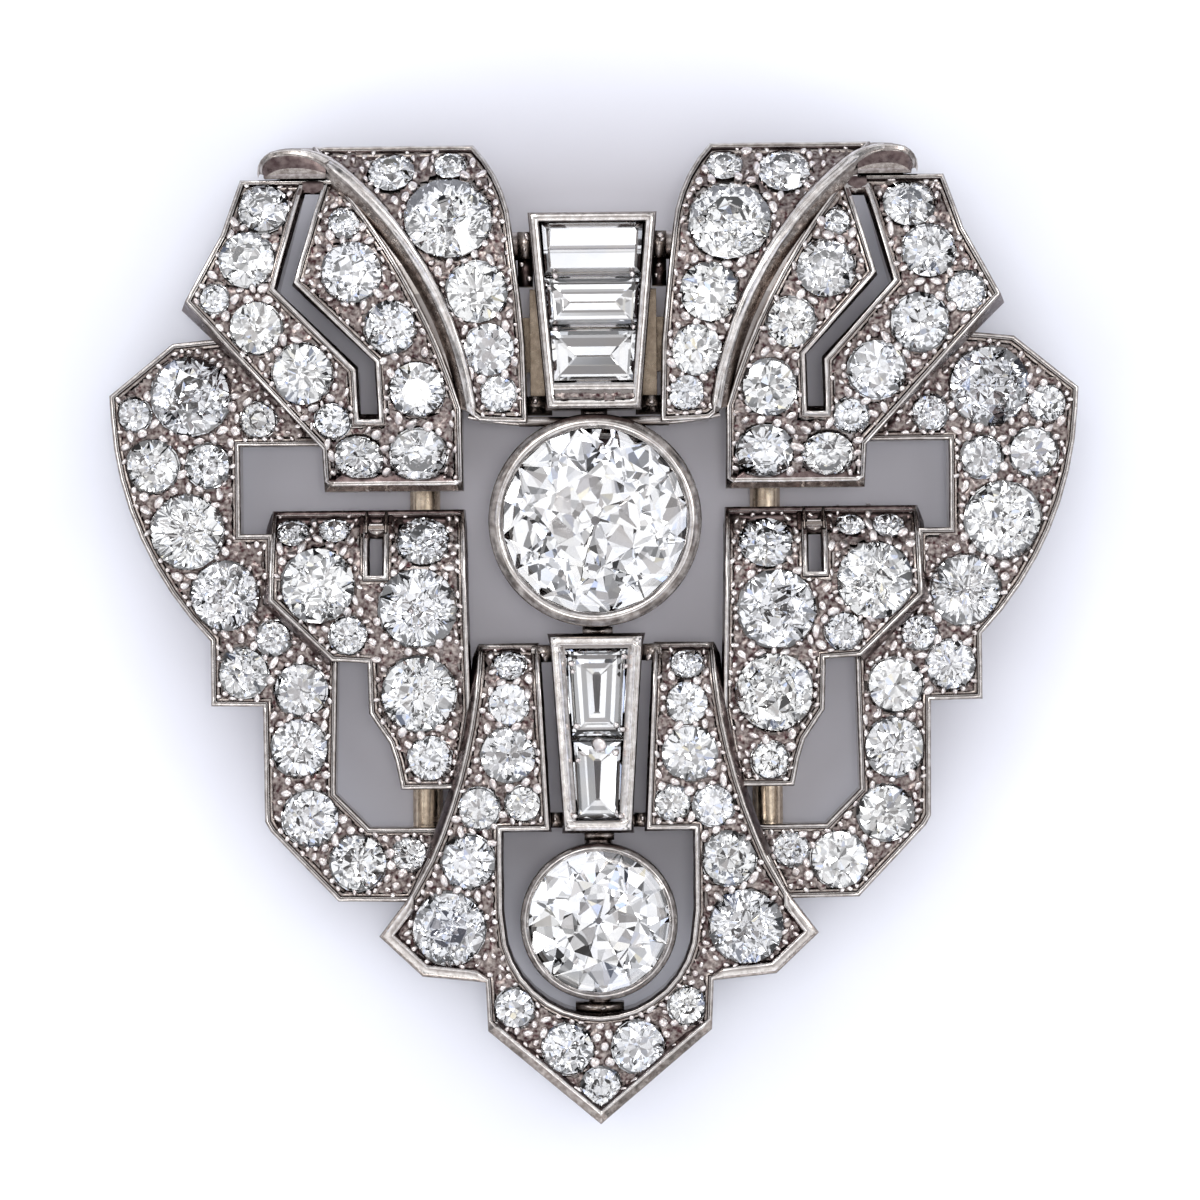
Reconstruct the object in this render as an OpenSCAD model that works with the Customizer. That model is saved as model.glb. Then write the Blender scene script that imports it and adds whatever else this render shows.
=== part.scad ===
// Diamond clip brooch, millimetres. It lies on its back: +Z out of the stones, +Y to its top.
// The origin is under the middle of its outline, on the surface that it lies on.

/* [Metal] */
// Width of the bright rim round each panel
rim_w = 0.2; // [0.18:0.01:0.26]
// Depth of a stone field below its rim
field_depth = 0.3; // [0.2:0.01:0.35]
// Thickness of the walls under a panel's edge
wall_w = 0.7; // [0.6:0.05:0.8]
// Thickness of the walls under the drop panel's edge
drop_wall_w = 0.5; // [0.4:0.05:0.5]
// Height of the flat back of the metalwork above the surface that the brooch lies on
back_z = 2.2; // [2.1:0.05:2.3]

/* [Heights] */
// Top of the side wings
wing_z = 4.4; // [4.2:0.1:4.6]
// Top of the middle panels
mid_z = 5.3; // [5.1:0.1:5.4]
// Top of the drop panel
drop_z = 5.9; // [5.7:0.1:6.1]
// Crest of the arched fans
fan_z = 6.6; // [6.4:0.1:6.7]
// Crest of the arched scrolls
scroll_z = 7.1; // [7.0:0.1:7.3]
// Rim of the upper baguette box
top_bar_z = 7.3; // [7.1:0.1:7.5]
// Rim of the lower baguette box
low_bar_z = 6.4; // [6.3:0.1:6.6]

/* [Main stones] */
// Diameter of the main stone
main_d = 8.4; // [8.2:0.1:8.4]
// Outer radius of the main stone's collet
main_collet_r = 4.8; // [4.75:0.01:4.85]
// Rim of the main stone's collet
main_collet_z = 6.9; // [6.8:0.1:7.1]
// Diameter of the drop stone
drop_d = 6.45; // [6.3:0.05:6.45]
// Outer radius of the drop stone's collet
drop_collet_r = 3.55; // [3.5:0.01:3.6]
// Rim of the drop stone's collet
drop_collet_z = 6.2; // [6.1:0.1:6.4]

/* [Stones] */
// Table width of a round stone, as a share of its diameter
table_share = 0.54; // [0.45:0.01:0.6]
// Crown height, as a share of the diameter
crown_share = 0.16; // [0.13:0.01:0.18]
// Pavilion depth, as a share of the diameter
pavilion_share = 0.43; // [0.4:0.01:0.44]
// Height of a small stone's girdle above its field
girdle_lift = 0.12; // [0.1:0.01:0.15]
// Width of the seat that carries a small stone, inside its girdle
seat_w = 0.08; // [0.06:0.01:0.1]
// Gap between a stone and the metal that holds it
stone_gap = 0.05; // [0.04:0.01:0.06]

/* [Clip] */
// Radius of the two prongs
prong_r = 0.7; // [0.6:0.05:0.7]
// Distance from the middle plane to each prong
prong_x = 7.85; // [7.7:0.05:8]
// End of the prongs, towards the tip of the brooch
prong_end_y = -11; // [-11.5:0.1:-10.5]
// Half of the width of the clip's hinge block
block_half_w = 2.9; // [2.7:0.05:2.9]
// Top of the hinge block
block_z = 3.1; // [2.9:0.1:3.1]

/* [Hidden] */
$fn = 64;

platinum = [0.78, 0.77, 0.75];
gold = [0.72, 0.6, 0.36];
diamond = [0.92, 0.95, 1];

// Half of the brooch's height in plan, and the height above all of it
half_h = 22.25;
sky_z = 12;
// How far a cut passes the face that it cuts
past = 0.5;
// Most that a rolled surface turns down, and the turn of each of its strips
roll_end = 65;
roll_step = 6.5;

// Surfaces: y where the roll starts below, y where it starts above, height, radius of the roll
wing_top = [-30, 30, wing_z, 3];
mid_top = [-30, 1.5, mid_z, 5];
drop_top = [-30, -3, drop_z, 3];
fan_top = [14, 14, fan_z, 12];
scroll_top = [14, 14, scroll_z, 12];
// How far the hollow under each panel stays below its top
flat_plate_t = 1.5;
drop_plate_t = 2.1;
fan_plate_t = fan_z - 4;
scroll_plate_t = scroll_z - 4;

// Middles of the two round collets, and of the opening that holds the drop collet
main_at = [0, 5.05];
drop_at = [0, -13.1];
drop_opening_r = 4.3;
drop_opening_half_w = 4.38;

// Corner of a list, wrapped round its end
function corner(pts, i) = pts[(i + len(pts)) % len(pts)];
function unit(v) = v / norm(v);
function left_of(v) = [-v.y, v.x];
function side_dir(pts, i) = unit(corner(pts, i + 1) - corner(pts, i));

// A closed outline that runs anticlockwise, with every side moved inwards by d
function inset(pts, d) = [
  for (i = [0 : len(pts) - 1])
    let (u = left_of(side_dir(pts, i - 1)), v = left_of(side_dir(pts, i)))
      pts[i] + d * (u + v) / (1 + u * v)
];

function mirrored(pts) = [for (i = [len(pts) - 1 : -1 : 0]) [-pts[i].x, pts[i].y]];

// Middle of the circle through three points
function arc_centre(a, m, b) =
  let (k = 2 * (a.x * (m.y - b.y) + m.x * (b.y - a.y) + b.x * (a.y - m.y)))
    [
      (a * a * (m.y - b.y) + m * m * (b.y - a.y) + b * b * (a.y - m.y)) / k,
      (a * a * (b.x - m.x) + m * m * (a.x - b.x) + b * b * (m.x - a.x)) / k
    ];
function angle_at(c, p) = atan2(p.y - c.y, p.x - c.x);
function turn_left(a, b) = (b - a) < 0 ? b - a + 360 : b - a;

// Points on the arc from a through m to b in n steps, both ends included
function arc(a, m, b, n) =
  let (
    c = arc_centre(a, m, b),
    left = (m.x - a.x) * (b.y - a.y) - (m.y - a.y) * (b.x - a.x) > 0,
    start = angle_at(c, a),
    turn = left ? turn_left(start, angle_at(c, b)) : -turn_left(angle_at(c, b), start)
  )
    [for (i = [0 : n]) c + norm(a - c) * [cos(start + turn * i / n), sin(start + turn * i / n)]];

// Outlines of the right half, anticlockwise, columns x and y
fan_inner_edge = arc([11.6, 20.7], [8.75, 16.6], [6.0, 10.2], 9);
fan_outline = concat(
  [[6.0, 6.5], [12.3, 6.5], [12.35, 8.42], [18.4, 15.1], [16.8, 18.15], [16.0, 20.7]],
  fan_inner_edge
);
// The two fans' slots differ a little; the left one is given as its mirror image
left_fan_slot = [
  [12.25, 20.4], [13.5, 15.9], [9.83, 12.28], [9.72, 9.72],
  [10.66, 9.72], [10.74, 11.98], [14.38, 15.65], [13.12, 20.4]
];
right_fan_slot = [
  [11.68, 20.1], [12.8, 16.15], [9.55, 12.45], [9.62, 9.9],
  [10.5, 9.9], [10.42, 12.25], [13.6, 15.8], [12.45, 20.1]
];

scroll_ridge = arc([5.75, 10.05], [7.85, 16.3], [12.1, 21.3], 10);
scroll_outline = concat(
  [[3.02, 9.5], [5.2, 9.6]],
  scroll_ridge,
  [[12.7, half_h]],
  arc([5.4, half_h], [4.2, 20.4], [3.65, 18.2], 5),
  [[3.3, 15.2], [3.1, 13.0]]
);
scroll_tip = concat(
  [[11.8, 21.0], [13.3, 20.9], [14.4, 20.82]],
  arc([14.62, 21.25], [14.3, 21.9], [13.3, half_h], 4),
  [[11.8, half_h]]
);
// How far the scroll's tip, and the metal between it and the fan, stay below their surfaces
tip_drop = 0.3;
web_drop = 0.1;
web_outline = concat(
  [[5.4, 10.15], [6.2, 10.15]],
  arc([6.4, 11.0], [8.95, 16.6], [11.9, 20.6], 5),
  [[14.2, 20.5], [14.2, 21.2], [11.9, 21.5]],
  arc([11.5, 21.0], [7.5, 16.3], [5.4, 11.0], 5)
);

wing_outline = concat(
  [[14.9, -8.95], [15.15, -8.5], [15.2, -3.25], [17.55, -3.2]],
  arc([17.55, -0.25], [21.0, 5.2], [22.0, 9.95], 8),
  [
    [22.05, 10.95], [19.15, 13.3], [16.6, 13.55], [12.0, 8.6], [16.15, 8.6],
    [16.15, 4.6], [14.7, 4.6], [14.7, 1.65], [11.8, -1.1], [11.95, -7.25], [10.4, -8.82],
    [6.9, -8.85], [8.5, -12.2], [11.85, -12.15]
  ]
);

mid_outline = [
  [6.4, -7.05], [8.9, -7.05], [9.15, -5.8], [9.42, -4.95], [10.32, -3.6], [10.38, -1.3],
  [12.0, -1.2], [14.85, 1.55], [14.75, 5.65], [5.95, 5.65], [5.8, -1.0], [5.72, -3.6], [6.1, -5.8]
];
mid_slot = [[9.62, 2.65], [10.36, 2.65], [10.36, 4.75], [9.62, 4.75]];

drop_side = arc([7.6, -10.2], [6.15, -6.0], [5.35, -0.5], 8);
drop_right = concat([[5.05, -18.0], [5.15, -15.8], [8.0, -15.5], [9.93, -13.68], [8.5, -11.8]], drop_side);
drop_inner = concat(
  [[2.62, -0.5], [2.2, -8.95], [drop_opening_half_w, -8.95], [drop_opening_half_w, -12.6]],
  arc([4.2, -14.1], drop_at - [0, drop_opening_r], [-4.2, -14.1], 14),
  [[-drop_opening_half_w, -12.6], [-drop_opening_half_w, -8.95], [-2.2, -8.95], [-2.62, -0.5]]
);
drop_outline = concat([[0, -half_h]], drop_right, drop_inner, mirrored(drop_right));

// Baguette boxes: half of the width at the box's top and bottom, then y of its top and bottom
top_bar = [2.85, 2.08, 18.9, 10.1];
low_bar = [2.06, 1.5, -0.2, -8.95];
top_channel = [2.4, 1.86, 18.5, 11.22];
low_channel = [1.43, 1.0, -0.72, -8.52];
// Baguettes: half of the width at the top and bottom, then y of the top and bottom
top_baguettes = [[2.33, 2.17, 18.42, 16.18], [2.15, 1.99, 15.98, 13.82], [1.98, 1.81, 13.62, 11.3]];
low_baguettes = [[1.37, 1.15, -0.8, -4.72], [1.13, 0.94, -4.92, -8.45]];
// A baguette's crown and pavilion heights, and its girdle below the box's rim and above the ledge
baguette_crown = 0.42;
baguette_depth = 1.1;
baguette_drop = 0.4;
ledge_w = 0.38;
ledge_drop = 0.5;
// Steps of a baguette: half of its girdle's edge, the step and the table inwards of it, and the step's height
baguette_edge = 0.05;
step_in = 0.22;
table_in = 0.5;
step_share = 0.62;
// Underside of the upper box, clear of the hinge block
top_bar_back = 3.2;

// Collets: girdle and seat below the rim, edge, straight wall, taper to the back, opening in the back
collet_girdle_drop = 0.5;
collet_seat_drop = 0.75;
collet_edge = 0.12;
collet_wall_h = 1.4;
collet_taper = 0.35;
collet_open_share = 0.55;
collet_clearance = 0.3;

// Tubes and lugs that carry the boxes, right side: x from, x to, y, z and radius
side_rods = [
  [2.5, 3.9, 17.6, 4.3, 0.65],
  [1.9, 3.3, 10.2, 3.9, 0.32],
  [1.7, 2.95, -0.85, 4.6, 0.3],
  [1.3, 2.7, -8.6, 4.6, 0.3],
  [1.2, 3.4, 9.55, 5.6, 0.22]
];
// Connectors on the middle plane: y from, y to, z and radius
middle_rods = [
  [9.2, 10.6, 4.2, 0.6],
  [1.2, -0.6, 4.0, 0.65],
  [-8.5, -10.2, 4.2, 0.65],
  [-16.2, -17.9, 4.0, 0.5]
];

// Clip: start and length of the hinge block and of the cross bar in y, the bar's underside and thickness,
// the prongs' start in y and the length of their tips
block_y = 10.8;
block_len = 4.9;
cross_y = 12;
cross_len = 2.5;
cross_z = 0.1;
cross_t = 1.15;
prong_start_y = 13.2;
prong_tip = 0.3;

// Small round stones, columns x, y and diameter
left_scroll_stones = [
  [-9.15, 20.95, 2.1], [-6.45, 21.25, 1.4], [-6.5, 18.75, 3.8], [-5.25, 15.4, 2.65], [-4.75, 12.8, 2.2],
  [-4.3, 10.85, 1.55]
];
right_scroll_stones = [
  [6.0, 21.15, 1.6], [8.75, 20.85, 2.3], [6.2, 18.5, 3.6], [5.3, 15.3, 2.5], [4.65, 12.7, 2.2],
  [4.2, 10.8, 1.5]
];
left_fan_stones = [
  [-14.95, 19.28, 2.2], [-15.6, 16.95, 2.4], [-17.1, 15.2, 1.2], [-15.2, 13.85, 2.2],
  [-13.15, 11.85, 2.6], [-11.85, 9.7, 1.5], [-10.75, 8.05, 2.1], [-8.0, 8.2, 2.45],
  [-11.2, 18.6, 1.3], [-10.9, 16.35, 2.6], [-9.15, 13.85, 2.2], [-8.0, 11.05, 2.4]
];
right_fan_stones = [
  [14.4, 19.3, 2.2], [15.2, 17.1, 2.3], [16.85, 15.25, 1.6], [14.75, 13.85, 2.5],
  [12.8, 11.75, 2.5], [11.65, 9.75, 1.5], [10.6, 8.0, 2.2], [7.75, 8.2, 2.45],
  [11.1, 18.5, 1.1], [10.55, 16.35, 2.5], [8.95, 13.95, 2.1], [7.95, 11.05, 2.4]
];
left_wing_stones = [
  [-18.35, 10.95, 3.5], [-20.95, 10.1, 1.4], [-15.3, 9.8, 1.5], [-20.15, 7.7, 2.3], [-17.6, 7.75, 1.9],
  [-18.6, 4.75, 3.3], [-16.9, 1.8, 3.05], [-14.7, -0.15, 1.5], [-16.1, -1.7, 2.2], [-13.5, -2.5, 2.3],
  [-13.55, -5.2, 2.5], [-13.1, -8.35, 2.45], [-10.95, -10.4, 2.45], [-8.6, -10.05, 1.45]
];
right_wing_stones = [
  [18.0, 11.05, 3.5], [20.65, 10.2, 1.6], [15.3, 9.85, 1.5], [20.0, 8.0, 2.1], [17.65, 7.8, 1.8],
  [18.6, 4.9, 3.4], [16.85, 1.75, 3.1], [14.7, -0.15, 1.5], [16.15, -1.65, 2.15], [13.6, -2.55, 2.4],
  [13.55, -5.35, 2.6], [13.1, -8.35, 2.45], [10.95, -10.45, 2.5], [8.8, -10.0, 1.5]
];
left_panel_stones = [
  [-13.8, 4.6, 1.35], [-11.9, 4.7, 1.3], [-12.65, 2.2, 3.2], [-11.25, -0.05, 1.6],
  [-7.85, 4.15, 2.25], [-8.1, 1.15, 3.4], [-8.1, -2.75, 3.3], [-7.6, -5.7, 1.9]
];
right_panel_stones = [
  [11.65, 4.75, 1.3], [13.4, 4.7, 1.45], [12.7, 2.2, 3.3], [11.25, -0.05, 1.6],
  [7.8, 3.95, 2.3], [8.2, 0.95, 3.4], [8.1, -2.85, 3.4], [7.85, -5.9, 1.6]
];
drop_stones = [
  [-3.95, -1.5, 1.35], [-4.0, -3.25, 1.8], [-4.05, -5.52, 2.45], [-5.4, -7.95, 1.8], [-3.38, -7.75, 1.5],
  [-5.9, -10.35, 2.35], [-6.8, -13.35, 3.2],
  [4.1, -1.5, 1.35], [4.05, -3.25, 1.8], [4.2, -5.52, 2.45], [5.25, -7.9, 1.8], [3.38, -7.75, 1.5],
  [5.9, -10.3, 2.35], [6.65, -13.35, 3.2],
  [-3.85, -17.0, 1.7], [-1.45, -18.85, 2.2], [1.75, -18.8, 2.3], [3.95, -16.95, 1.6], [0.03, -20.6, 1.7]
];

// A surface lowered by depth, parallel to itself
function sunk(top, depth) = [top[0], top[1], top[2] - depth, top[3] - depth];

// Everything under a surface, from below the back of the metalwork
module under(top) {
  steps = ceil(roll_end / roll_step);
  low_part = [
    for (i = [steps : -1 : 0])
      let (a = i * roll_end / steps) [top[0] - top[3] * sin(a), top[2] - top[3] * (1 - cos(a))]
  ];
  high_part = [
    for (i = [top[0] == top[1] ? 1 : 0 : steps])
      let (a = i * roll_end / steps) [top[1] + top[3] * sin(a), top[2] - top[3] * (1 - cos(a))]
  ];
  ends = [[high_part[len(high_part) - 1].x, 0], [low_part[0].x, 0]];
  rotate([90, 0, 90])
    linear_extrude(height = 60, center = true)
      polygon(concat(low_part, high_part, ends));
}

module slab(pts, from_z = back_z)
  translate([0, 0, from_z])
    linear_extrude(height = sky_z - from_z)
      polygon(pts);

// Places a child on a surface, square to it, lift above it
module on_surface(top, x, y, lift) {
  over = y > top[1] ? y - top[1] : y < top[0] ? y - top[0] : 0;
  tilt = asin(over / top[3]);
  translate([x, y - over, top[2] - top[3]])
    rotate([-tilt, 0, 0])
      translate([0, 0, top[3] + lift])
        children();
}

// A plate with a rim, a sunk field drilled under each stone, and a hollow back
module panel(outline, top, plate_t, stones, slot = [], wall = wall_w) {
  field = sunk(top, field_depth);
  difference() {
    intersection() {
      slab(outline);
      under(top);
    }
    difference() {
      slab(inset(outline, rim_w));
      under(field);
      if (len(slot) > 0) slab(inset(slot, -rim_w));
    }
    difference() {
      intersection() {
        slab(inset(outline, wall), back_z - past);
        under(sunk(top, plate_t));
      }
      if (len(slot) > 0) slab(inset(slot, -rim_w), 0);
    }
    if (len(slot) > 0) slab(slot, 0);
    for (s = stones)
      on_surface(field, s[0], s[1], past)
        translate([0, 0, -field[2]])
          cylinder(r = s[2] / 2 - seat_w, h = field[2]);
  }
}

// A collet: a tapered ring with a seat for a round stone and an open back
module collet(at, outer_r, stone_d, rim_z) {
  bore_r = stone_d / 2 + stone_gap;
  seat_z = rim_z - collet_seat_drop;
  open_r = bore_r * collet_open_share;
  open_z = seat_z - (1 - collet_open_share) * stone_d * pavilion_share - collet_clearance;
  translate([at.x, at.y, 0])
    rotate_extrude()
      polygon([
        [bore_r, rim_z], [outer_r - collet_edge, rim_z], [outer_r, rim_z - collet_edge],
        [outer_r, rim_z - collet_wall_h], [outer_r - collet_taper, back_z], [open_r, back_z],
        [open_r, open_z], [bore_r, seat_z]
      ]);
}

function bar_outline(row) = [[-row[1], row[3]], [row[1], row[3]], [row[0], row[2]], [-row[0], row[2]]];

// A baguette box, from its own back up to its rim, with a stepped channel for the stones
module bar(body, channel, from_z, rim_z) {
  channel_pts = bar_outline(channel);
  difference() {
    translate([0, 0, from_z])
      linear_extrude(height = rim_z - from_z)
        polygon(bar_outline(body));
    slab(channel_pts, rim_z - baguette_drop - ledge_drop);
    slab(inset(channel_pts, ledge_w), from_z - past);
  }
}

// A round rod from a to b
module rod(a, b, r) {
  v = b - a;
  translate(a)
    rotate([0, acos(v.z / norm(v)), atan2(v.y, v.x)])
      cylinder(r = r, h = norm(v));
}

module side_metal(stones_scroll, stones_fan, stones_wing, stones_panel, fan_slot, left) {
  function flip(pts) = left ? mirrored(pts) : pts;
  panel(flip(scroll_outline), scroll_top, scroll_plate_t, stones_scroll);
  intersection() {
    slab(flip(scroll_tip));
    under(sunk(scroll_top, tip_drop));
  }
  intersection() {
    slab(flip(web_outline));
    under(sunk(fan_top, web_drop));
  }
  panel(flip(fan_outline), fan_top, fan_plate_t, stones_fan, flip(fan_slot));
  panel(flip(wing_outline), wing_top, flat_plate_t, stones_wing);
  panel(flip(mid_outline), mid_top, flat_plate_t, stones_panel, flip(mid_slot));
}

module joints_metal() {
  for (s = [-1, 1], row = side_rods)
    rod([s * row[0], row[2], row[3]], [s * row[1], row[2], row[3]], row[4]);
  for (row = middle_rods)
    rod([0, row[0], row[2]], [0, row[1], row[2]], row[3]);
}

module frame()
  color(platinum)
    union() {
      side_metal(
        left_scroll_stones, left_fan_stones, left_wing_stones, left_panel_stones, left_fan_slot, true
      );
      side_metal(
        right_scroll_stones, right_fan_stones, right_wing_stones, right_panel_stones, right_fan_slot, false
      );
      panel(drop_outline, drop_top, drop_plate_t, drop_stones, [], drop_wall_w);
      bar(top_bar, top_channel, top_bar_back, top_bar_z);
      bar(low_bar, low_channel, back_z, low_bar_z);
      collet(main_at, main_collet_r, main_d, main_collet_z);
      collet(drop_at, drop_collet_r, drop_d, drop_collet_z);
      joints_metal();
    }

module prong(x) {
  tip_y = prong_end_y + prong_tip;
  rod([x, prong_start_y, prong_r], [x, tip_y, prong_r], prong_r);
  translate([x, tip_y, prong_r])
    rotate([90, 0, 0])
      cylinder(r1 = prong_r, r2 = prong_r - prong_tip, h = prong_tip);
}

// The hinge block, the cross bar under it and the two prongs, in one piece
module clip() {
  cross_half_w = prong_x + prong_r;
  color(gold)
    union() {
      translate([-block_half_w, block_y, 0])
        cube([2 * block_half_w, block_len, block_z]);
      translate([-cross_half_w, cross_y, cross_z])
        cube([2 * cross_half_w, cross_len, cross_t]);
      prong(-prong_x);
      prong(prong_x);
    }
}

function ring(n, r, z, first = 0) = [
  for (i = [0 : n - 1])
    let (a = first + 360 * i / n) [r * cos(a), r * sin(a), z]
];

// A small round stone: table, 24 crown facets, 16 pavilion facets, girdle at z = 0
module small_stone(d) {
  table = 0;
  girdle = 8;
  culet = 24;
  points = concat(
    ring(8, d * table_share / 2, d * crown_share),
    ring(16, d / 2, 0),
    [[0, 0, -d * pavilion_share]]
  );
  faces = concat(
    [[for (i = [7 : -1 : 0]) table + i]],
    [for (i = [0 : 7]) [table + i, table + (i + 1) % 8, girdle + 2 * i + 1]],
    [for (i = [0 : 7]) [table + i, girdle + 2 * i + 1, girdle + 2 * i]],
    [for (i = [0 : 7]) [table + i, girdle + 2 * i, girdle + (2 * i + 15) % 16]],
    [for (i = [0 : 15]) [girdle + i, girdle + (i + 1) % 16, culet]]
  );
  polyhedron(points = points, faces = faces);
}

// A full-cut round stone: table, 8 stars, 8 kites, 16 upper and 16 lower girdle facets, 8 mains
module full_stone(d) {
  r = d / 2;
  table_r = r * table_share;
  crown = d * crown_share;
  depth = d * pavilion_share;
  edge = 0.12;
  star_r = r * 0.8;
  star_z = crown * (r - star_r * cos(22.5)) / (r - table_r);
  lower_r = r * 0.3;
  lower_z = -depth * (1 - lower_r * cos(22.5) / r);
  table = 0;
  star = 8;
  top = 16;
  bottom = 32;
  lower = 48;
  culet = 56;
  points = concat(
    ring(8, table_r, crown + edge / 2),
    ring(8, star_r, star_z + edge / 2, 22.5),
    ring(16, r, edge / 2),
    ring(16, r, -edge / 2),
    ring(8, lower_r, lower_z - edge / 2, 22.5),
    [[0, 0, -depth - edge / 2]]
  );
  faces = concat(
    [[for (i = [7 : -1 : 0]) table + i]],
    [for (i = [0 : 7]) [table + i, table + (i + 1) % 8, star + i]],
    [for (i = [0 : 7]) [table + i, star + i, top + 2 * i]],
    [for (i = [0 : 7]) [table + i, top + 2 * i, star + (i + 7) % 8]],
    [for (i = [0 : 7]) [star + i, top + 2 * i + 1, top + 2 * i]],
    [for (i = [0 : 7]) [star + i, top + (2 * i + 2) % 16, top + 2 * i + 1]],
    [for (i = [0 : 15]) [top + i, top + (i + 1) % 16, bottom + (i + 1) % 16]],
    [for (i = [0 : 15]) [top + i, bottom + (i + 1) % 16, bottom + i]],
    [for (i = [0 : 7]) [bottom + 2 * i, bottom + 2 * i + 1, lower + i]],
    [for (i = [0 : 7]) [bottom + 2 * i + 1, bottom + (2 * i + 2) % 16, lower + i]],
    [for (i = [0 : 7]) [bottom + 2 * i, lower + i, culet]],
    [for (i = [0 : 7]) [bottom + 2 * i, culet, lower + (i + 7) % 8]]
  );
  polyhedron(points = points, faces = faces);
}

// A step-cut stone with a tapered outline: table, two crown steps, girdle and a keel along its longer side
module baguette(row, rim_z) {
  girdle = bar_outline(row);
  z = rim_z - baguette_drop;
  mid_y = (row[2] + row[3]) / 2;
  half_w = (row[0] + row[1]) / 2;
  half_len = (row[2] - row[3]) / 2;
  wide = half_w > half_len;
  half_keel = abs(half_w - half_len);
  keel = wide
    ? [[-half_keel, mid_y], [half_keel, mid_y]]
    : [[0, mid_y - half_keel], [0, mid_y + half_keel]];
  function level(pts, h) = [for (p = pts) [p.x, p.y, z + h]];
  points = concat(
    level(inset(girdle, table_in), baguette_crown),
    level(inset(girdle, step_in), baguette_crown * step_share),
    level(girdle, baguette_edge),
    level(girdle, -baguette_edge),
    level(keel, -baguette_depth)
  );
  bottom = 12;
  keel_a = 16;
  keel_b = 17;
  bands = [
    for (b = [0 : 2], i = [0 : 3])
      let (j = (i + 1) % 4) [4 * b + i, 4 * b + j, 4 * b + j + 4, 4 * b + i + 4]
  ];
  below = [
    for (i = [0 : 3])
      let (
        a = bottom + i,
        b = bottom + (i + 1) % 4,
        near = wide ? [keel_a, keel_b, keel_b, keel_a] : [keel_a, keel_a, keel_b, keel_b],
        far = wide ? [keel_b, keel_b, keel_a, keel_a] : [keel_a, keel_b, keel_b, keel_a]
      )
        near[i] == far[i] ? [a, b, near[i]] : [a, b, far[i], near[i]]
  ];
  polyhedron(points = points, faces = concat([[3, 2, 1, 0]], bands, below));
}

module stone_field(stones, top)
  color(diamond)
    for (s = stones)
      on_surface(sunk(top, field_depth), s[0], s[1], girdle_lift)
        small_stone(s[2]);

module set_stone(at, d, rim_z)
  color(diamond)
    translate([at.x, at.y, rim_z - collet_girdle_drop])
      full_stone(d);

frame();
clip();
set_stone(main_at, main_d, main_collet_z);  // main_stone
set_stone(drop_at, drop_d, drop_collet_z);  // drop_stone
color(diamond) baguette(top_baguettes[0], top_bar_z);  // baguette_top_1
color(diamond) baguette(top_baguettes[1], top_bar_z);  // baguette_top_2
color(diamond) baguette(top_baguettes[2], top_bar_z);  // baguette_top_3
color(diamond) baguette(low_baguettes[0], low_bar_z);  // baguette_low_1
color(diamond) baguette(low_baguettes[1], low_bar_z);  // baguette_low_2
stone_field(left_scroll_stones, scroll_top);  // stones_left_scroll
stone_field(right_scroll_stones, scroll_top);  // stones_right_scroll
stone_field(left_fan_stones, fan_top);  // stones_left_fan
stone_field(right_fan_stones, fan_top);  // stones_right_fan
stone_field(left_wing_stones, wing_top);  // stones_left_wing
stone_field(right_wing_stones, wing_top);  // stones_right_wing
stone_field(left_panel_stones, mid_top);  // stones_left_panel
stone_field(right_panel_stones, mid_top);  // stones_right_panel
stone_field(drop_stones, drop_top);  // stones_drop
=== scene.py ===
import math
import random

import bmesh
import bpy
import numpy as np
from mathutils import Matrix, Vector, noise


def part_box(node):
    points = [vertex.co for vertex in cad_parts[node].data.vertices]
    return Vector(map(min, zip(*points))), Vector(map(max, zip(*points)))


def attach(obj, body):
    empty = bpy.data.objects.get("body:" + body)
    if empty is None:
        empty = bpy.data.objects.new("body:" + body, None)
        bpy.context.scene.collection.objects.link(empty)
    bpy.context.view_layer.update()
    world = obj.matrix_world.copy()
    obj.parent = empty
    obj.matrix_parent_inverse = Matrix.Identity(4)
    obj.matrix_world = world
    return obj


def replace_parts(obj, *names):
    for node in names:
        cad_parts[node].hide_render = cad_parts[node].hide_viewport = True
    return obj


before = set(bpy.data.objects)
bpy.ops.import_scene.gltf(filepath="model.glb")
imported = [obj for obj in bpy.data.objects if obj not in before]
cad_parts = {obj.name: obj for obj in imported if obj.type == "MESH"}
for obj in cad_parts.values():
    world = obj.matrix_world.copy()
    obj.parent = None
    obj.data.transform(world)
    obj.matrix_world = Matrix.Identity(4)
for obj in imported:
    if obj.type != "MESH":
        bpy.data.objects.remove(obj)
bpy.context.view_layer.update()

MM = 0.001
scene = bpy.context.scene

# Camera: straight above, the photograph's turn and scale (pixels of the 1200 x 1200 photograph)
PHOTO_PX = 1200
PX_PER_MM = 22.0
ORIGIN_PX = (596.2, 632.0)
PHOTO_TURN = math.radians(0.5717)
CAMERA_DISTANCE = 240.0
FOCUS_Z = 4.8
SENSOR = 36.0

# Heights and rolled surfaces, as in the CAD: y where the roll starts below and above,
# height, radius of the roll
FIELD_DEPTH = 0.3
RIM_W = 0.2
WING_TOP = (-30, 30, 4.4, 3)
MID_TOP = (-30, 1.5, 5.3, 5)
DROP_TOP = (-30, -3, 5.9, 3)
FAN_TOP = (14, 14, 6.6, 12)
SCROLL_TOP = (14, 14, 7.1, 12)
HALF_H = 22.25
TOP_BAR_Z = 7.3
LOW_BAR_Z = 6.4
MAIN_AT = (0, 5.05)
MAIN_COLLET = (4.2, 4.8, 6.9)  # stone radius, outer radius, rim height
DROP_AT = (0, -13.1)
DROP_COLLET = (3.225, 3.55, 6.2)

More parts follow.
